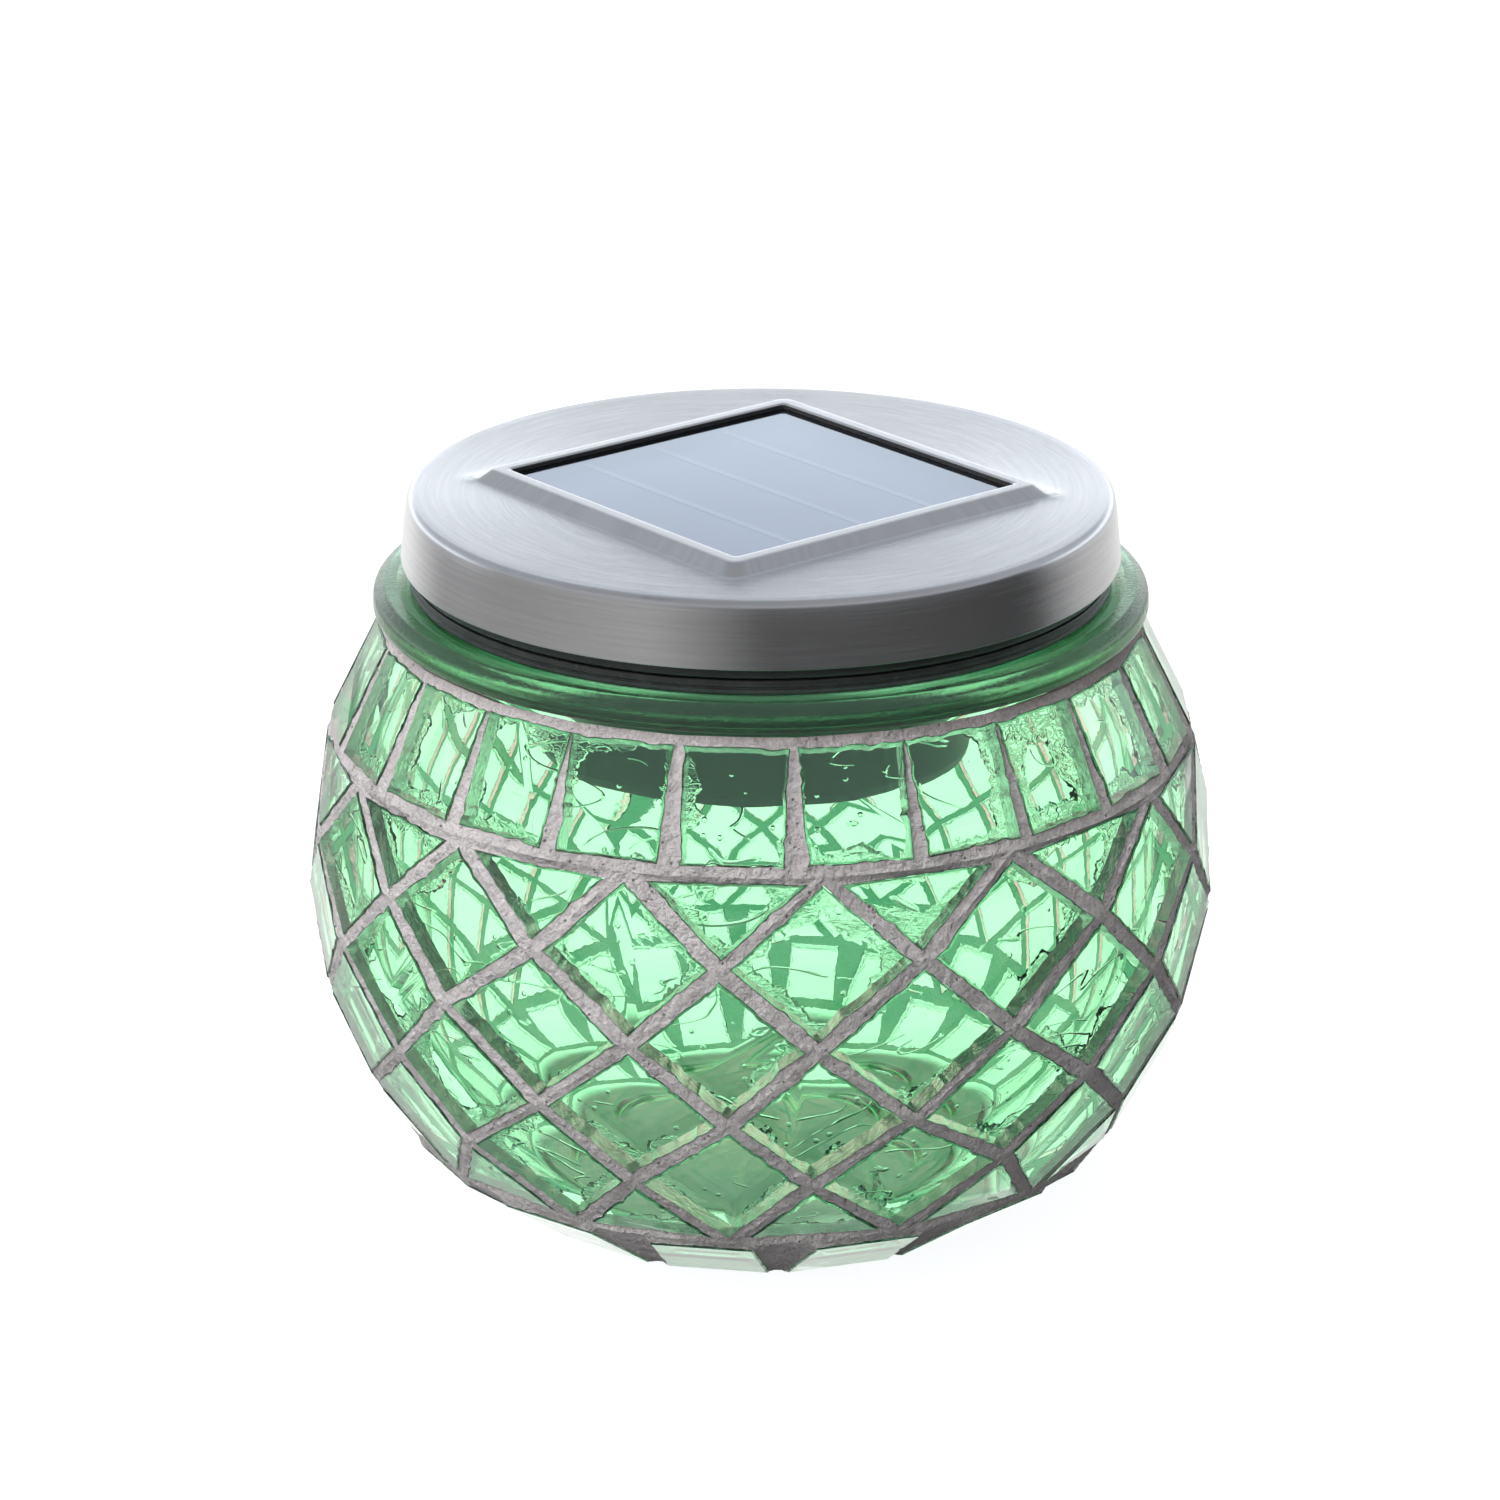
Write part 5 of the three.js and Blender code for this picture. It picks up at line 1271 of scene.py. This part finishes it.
# --------------------------------------------------------------------- screws
def screw(name, node, body, x, y, z, side, head_r, head_h, shank_r, length):
    """Pan-head screw with a cross recess and a real thread profile."""
    prof = fillet([(0, head_h), (head_r * 0.55, head_h, 0.4), (head_r, head_h * 0.45, 0.5), (head_r, 0, 0.15), (shank_r, 0, 0.1)], 4)
    prof = [p for p in prof]
    k = int(length / 0.55)
    for i in range(k):
        t = -0.25 - i * 0.55
        if -t > length - 0.7:
            break
        prof += [(shank_r * 0.80, t), (shank_r, t - 0.22), (shank_r * 0.80, t - 0.44)]
    prof += [(shank_r * 0.4, -length + 0.25), (0, -length)]
    o = temp(name, lathe_data(prof, 32))
    o.data.materials.append(M["screw"])
    w, d = head_r * 0.62, 0.17
    boolean(o, [temp("x1", box_data(-w, w, -d, d, head_h - 0.6, head_h + 1)), temp("x2", box_data(-d, d, -w, w, head_h - 0.6, head_h + 1))])
    me = o.data
    co = np.zeros(len(me.vertices) * 3)
    me.vertices.foreach_get("co", co)
    co = co.reshape(-1, 3)
    if side < 0:
        co *= (1, -1, -1)
    co += np.array((x, y, z)) * MM
    me.vertices.foreach_set("co", co.ravel())
    me.polygons.foreach_set("use_smooth", [True] * len(me.polygons))
    me.set_sharp_from_angle(angle=math.radians(35))
    me.update()
    return register(o, body, [node])


for i, (x, y) in enumerate(HOUSING_SCREWS):
    screw(f"housing_screw_{i + 1}_pan", f"housing_screw_{i + 1}", "lid", x, y, 86.8, -1, 2.4, 1.5, 1.1, 3.9)
for i, (x, y) in enumerate(BOARD_POSTS):
    screw(f"board_screw_{i + 1}_pan", f"board_screw_{i + 1}", "lid", x, y, 67.2, 1, 2.0, 1.3, 0.85, 4.2)
screw("cover_screw_pan", "cover_screw", "battery_cover", *COVER_SCREW, 60.62, -1, 2.1, 1.2, 1.1, 6.4)


# ---------------------------------------------------------------- electronics
def from_node(name, node, mat, body, bevel=0.1, segments=2):
    """A refined copy of a small moulded or stamped part: its edges rounded."""
    src = NODES[node].data
    me = src.copy()
    me.name = name
    me.materials.clear()
    me.materials.append(mat)
    bm = bmesh.new()
    bm.from_mesh(me)
    bmesh.ops.remove_doubles(bm, verts=bm.verts, dist=1e-6)
    bmesh.ops.dissolve_limit(bm, angle_limit=math.radians(1), verts=bm.verts, edges=bm.edges)
    bm.to_mesh(me)
    bm.free()
    if "custom_normal" in me.attributes:
        me.attributes.remove(me.attributes["custom_normal"])
    o = bpy.data.objects.new(name, me)
    SCENE.collection.objects.link(o)
    soften(o, bevel, segments)
    return register(o, body, [node])


from_node("circuit_board_routed", "circuit_board", M["board"], "lid", 0.08)
from_node("driver_chip_moulded", "driver_chip", M["chip"], "lid", 0.08)
from_node("switch_body_folded", "switch_body", M["can"], "lid", 0.15)
from_node("switch_knob_moulded", "switch_knob", M["black"], "switch_knob", 0.12)
from_node("battery_cover_moulded", "battery_cover", M["black"], "battery_cover", 0.15)
from_node("contact_plate_stamped", "contact_plate_positive", M["contact"], "lid", 0.1)

# lamp: lens with its flange, leads below
lens = fillet([(0, 57.2), (1.0, 57.35), (1.9, 58.0, 0.6), (2.4, 59.1, 0.6), (2.5, 60.2, 0.3), (2.5, 64.7, 0.1), (2.85, 64.75, 0.12), (2.85, 65.75, 0.12), (0, 65.75)], 4)
lens[0], lens[-1] = (0, 57.2), (0, 65.75)
lamp_data = merged(lathe_data(lens, 56, (LX, LY)),
                   *[box_data(LX + s * 1.27 - 0.25, LX + s * 1.27 + 0.25, LY - 0.25, LY + 0.25, 65.76, 68.3) for s in (-1, 1)])
lamp = obj("led_lamp_cast", lamp_data[0], lamp_data[1], [M["lamp"], M["contact"]], "lid", ["led_lamp"], "lamp_lens", 30, fix=True)
zs = [sum(lamp.data.vertices[v].co.z for v in p.vertices) / len(p.vertices) for p in lamp.data.polygons]
lamp.data.polygons.foreach_set("material_index", [1 if z > 0.06575 else 0 for z in zs])

coil = fillet([(0, -4.2), (1.6, -4.2, 0.3), (2.05, -3.4, 0.3), (1.72, -2.6, 0.3), (1.72, 2.6, 0.3), (2.05, 3.4, 0.3), (1.6, 4.2, 0.3), (0, 4.2)], 4)
cv, cf = lathe_data(coil, 32)
cv = [(z + 8.5, y - 18.2, -x + 69.4) for x, y, z in cv]
leg = lambda s: sweep([(8.5 + s * 4.1, -18.2, 69.4), (8.5 + s * 5.2, -18.2, 69.35), (8.5 + s * 5.55, -18.2, 68.6), (8.5 + s * 5.6, -18.2, 67.3)], 0.28, 10, 6)
obj("choke_coil_dipped", *merged((cv, cf), leg(-1), leg(1)), [M["choke"]], "lid", ["choke_coil"], "choke_body", 35, fix=True)

# cell: sleeve shrunk over its shoulders, button end
cell_prof = fillet([(0, -14.75), (4.0, -14.75, 0.2), (4.4, -14.45, 0.2), (4.9, -14.35, 0.3), (5.2, -13.9, 0.4), (5.2, 12.9, 0.5), (4.75, 13.55, 0.3), (4.3, 13.7, 0.2), (4.1, 13.85, 0.1), (1.9, 13.85, 0.15), (1.75, 14.75, 0.25), (0, 14.75)], 4)
cell_prof[0], cell_prof[-1] = (0, -14.75), (0, 14.75)
bv, bf = lathe_data(cell_prof, 64)
obj("battery_cell_wrapped", [(z, y + CELL_Y, -x + CELL_Z) for x, y, z in bv], bf, [M["wrap"]], "battery", ["battery_cell"], "cell_wrap", 35, fix=True)

helix = []
for i in range(61):
    t = i / 60
    a, r = t * 2.6 * 2 * pi, 3.3 - 1.2 * t
    helix.append((-18.55 + 3.1 * t, CELL_Y + r * cos(a), CELL_Z + r * sin(a)))
plate = obj("contact_spring_wound", *merged(box_data(-18.95, -18.5, CELL_Y - 3.5, CELL_Y + 3.5, 63.8, 71.0), box_data(-18.9, -18.55, CELL_Y - 1, CELL_Y + 1, 70.9, 74.0), sweep(helix, 0.34, 10, 3)),
            [M["contact"]], "lid", ["contact_spring_negative"], "contact_metal", 35, fix=True)

for name, mat, pts in (("panel_wire_red", "red", [(1.8, 0.6, 90.8), (1.9, 0.4, 86), (5, -5, 80), (12, -10, 76), (14.5, -7.5, 70.5), (13.5, -6.0, 67.75)]),
                       ("panel_wire_black", "wire_black", [(-1.8, -0.6, 90.8), (-1.9, -0.8, 86), (-4, -6, 81), (-9, -11, 76), (-11, -7.5, 71), (-10.5, -5.5, 67.75)]),
                       ("cell_wire_red", "red", [(15.45, 7, 74.3), (15.4, 6.2, 76.2), (13.5, 0, 77.5), (10.5, -4, 74), (9.5, -5.2, 67.75)]),
                       ("cell_wire_black", "wire_black", [(-18.7, 7, 74.3), (-18.5, 6, 76.2), (-17.5, 0, 77.0), (-16.5, -4, 73), (-15.5, -5.5, 67.75)])):
    obj(name + "_sleeved", *sweep(pts, 0.55, 14, 10), [M[mat]], "lid", [name], mat if mat != "red" else "wire_red", 40, fix=True)


# ---------------------------------------------------------- floor, sky, camera
def mat_floor(g):
    geo = g("ShaderNodeNewGeometry").outputs["Position"]
    grain = g.noise(geo, 40.0, 2, 0.5)
    lp = g("ShaderNodeLightPath").outputs
    col = g.mix(g.lin(grain, 0.3, 0.7), (0.78, 0.79, 0.80), (0.82, 0.82, 0.82))
    dif = g("ShaderNodeBsdfDiffuse", {"Color": g.mix(0.82, col, (0, 0, 0))}).outputs[0]
    gs = g("ShaderNodeSeparateXYZ", {0: geo}).outputs
    rad = g.m("SQRT", g.m("ADD", g.m("POWER", gs[0], 2.0), g.m("POWER", gs[1], 2.0)))
    # painted shade: for rays through the glass and for bounced light the floor's emission is dimmed under the jar, less
    # so in front of it
    near = g.smooth(gs[1], -0.020, -0.050)
    painted_shade_factor = g.m("MAXIMUM", g.smooth(rad, 0.0285, 0.0335, 0.20, 1.0), g.m("MULTIPLY", near, 0.85))
    level = g.m("ADD", g.m("MULTIPLY", lp["Is Camera Ray"], 0.96), g.m("MULTIPLY", g.m("MULTIPLY", lp["Is Transmission Ray"], 1.95), painted_shade_factor))
    level = g.m("ADD", level, g.m("MULTIPLY", g.m("MULTIPLY", lp["Is Diffuse Ray"], 0.10), painted_shade_factor))
    # painted light: under the jar the floor's emission is tinted green for rays through the glass
    under = g.m("MULTIPLY", g.smooth(rad, 0.075, 0.040), lp["Is Transmission Ray"])
    em = g("ShaderNodeEmission", {"Color": g.mix(under, (0.97, 0.985, 1.0), (0.88, 0.96, 0.95)), "Strength": level}).outputs[0]
    both = g("ShaderNodeAddShader", {0: dif, 1: em}).outputs[0]
    clear = g("ShaderNodeBsdfTransparent").outputs[0]
    return g("ShaderNodeMixShader", {0: g.m("MULTIPLY", lp["Is Glossy Ray"], lp["Is Reflection Ray"]), 1: both, 2: clear}).outputs[0]


floor_v, floor_f = [], []
rings = [0, 0.05, 0.1, 0.2, 0.4, 0.8, 1.6, 3.2, 6.0]
for r in rings:
    if r == 0:
        floor_v.append((0, 0, -0.0002))
    else:
        floor_v += [(r * cos(2 * pi * k / 64), r * sin(2 * pi * k / 64), -0.0002) for k in range(64)]
floor_f += [(0, 1 + k, 1 + (k + 1) % 64) for k in range(64)]
for i in range(len(rings) - 2):
    a, b = 1 + i * 64, 1 + (i + 1) * 64
    floor_f += [(a + k, b + k, b + (k + 1) % 64, a + (k + 1) % 64) for k in range(64)]
me = bpy.data.meshes.new("floor")
me.from_pydata(floor_v, [], floor_f)
me.materials.append(material("floor_pale", mat_floor))
floor = bpy.data.objects.new("floor", me)
SCENE.collection.objects.link(floor)

world = bpy.data.worlds.new("studio")
SCENE.world = world
world.use_nodes = True
g = Graph(world.node_tree)
d = g("ShaderNodeSeparateXYZ", {0: g("ShaderNodeTexCoord").outputs["Generated"]}).outputs
# azimuth from the camera side (-Y): 0 front, +0.25 right, 0.5 behind; 0..1 over -180..180
az = g.m("ADD", g.m("DIVIDE", g.m("ARCTAN2", d[0], g.m("MULTIPLY", d[1], -1.0)), 2 * pi), 0.5)
# a plain studio: white backdrop, one broad soft box on the left, dark room to the right of the camera
stops = [(-180, 1.15), (-148, 1.10), (-120, 0.38), (-75, 0.42), (-35, 0.52), (0, 0.11), (95, 0.06), (125, 0.65), (180, 1.15)]
bands = g.ramp(az, [((a + 180) / 360, v) for a, v in stops])
behind = g.smooth(d[1], -0.05, 0.45)
above = g.smooth(d[2], -0.02, 0.14)
backdrop = g.ramp(d[2], [(0.0, (1.60, 1.68, 1.80)), (0.26, (1.60, 1.68, 1.80)), (0.36, (0.62, 0.67, 0.74)), (1.0, (0.36, 0.38, 0.41))])
ceiling = g.smooth(d[2], 0.45, 0.9)
wall = g.mix(g.smooth(d[2], 0.22, 0.44), bands, (0.56, 0.59, 0.64))
front = g.mix(ceiling, wall, (0.40, 0.41, 0.43))
sky = g.mix(g.m("MULTIPLY", behind, above), front, backdrop)
lp = g("ShaderNodeLightPath").outputs
white = (1.06, 1.06, 1.06)
through = g.mix(g.smooth(d[1], -0.45, 0.1), (0.42, 0.44, 0.46), (3.15, 1.20, 1.66))
seen = g.mix(lp["Is Transmission Ray"], sky, through)
key = g.vm("DOT_PRODUCT", g("ShaderNodeTexCoord").outputs["Generated"], (-0.62, -0.42, 0.66), "Value")
lit = g.m("ADD", 0.06, g.m("MULTIPLY", g.m("POWER", g.m("MAXIMUM", key, 0.0), 3.0), 5.4))
fill = g.vm("DOT_PRODUCT", g("ShaderNodeTexCoord").outputs["Generated"], (0.30, 0.88, 0.36), "Value")
lit = g.m("ADD", lit, g.m("MULTIPLY", g.m("POWER", g.m("MAXIMUM", fill, 0.0), 2.0), 1.9))
soft = g.mix(lp["Is Diffuse Ray"], seen, g("ShaderNodeCombineColor", {0: lit, 1: lit, 2: lit}).outputs[0])
final = g.mix(lp["Is Camera Ray"], soft, white)
bg = g("ShaderNodeBackground", {"Color": final, "Strength": 1.0})
world.node_tree.links.new(bg.outputs[0], g("ShaderNodeOutputWorld").inputs["Surface"])

cam_data = bpy.data.cameras.new("camera")
cam = bpy.data.objects.new("camera", cam_data)
SCENE.collection.objects.link(cam)
cam.location = (-0.00136, -0.5645, 0.2726)
cam.rotation_euler = (math.radians(69.15), 0.0, 0.0)
cam_data.lens, cam_data.sensor_width = 113.97, 36.0
cam_data.clip_start, cam_data.clip_end = 0.01, 50.0
SCENE.camera = cam

SCENE.view_settings.view_transform = "Standard"
SCENE.view_settings.look = "None"
c = SCENE.cycles
c.max_bounces, c.transmission_bounces, c.glossy_bounces, c.diffuse_bounces, c.transparent_max_bounces = 28, 24, 8, 4, 16
c.use_denoising = True
c.blur_glossy = 0.6
c.sample_clamp_indirect = 8.0
c.use_adaptive_sampling = True
c.seed = 3
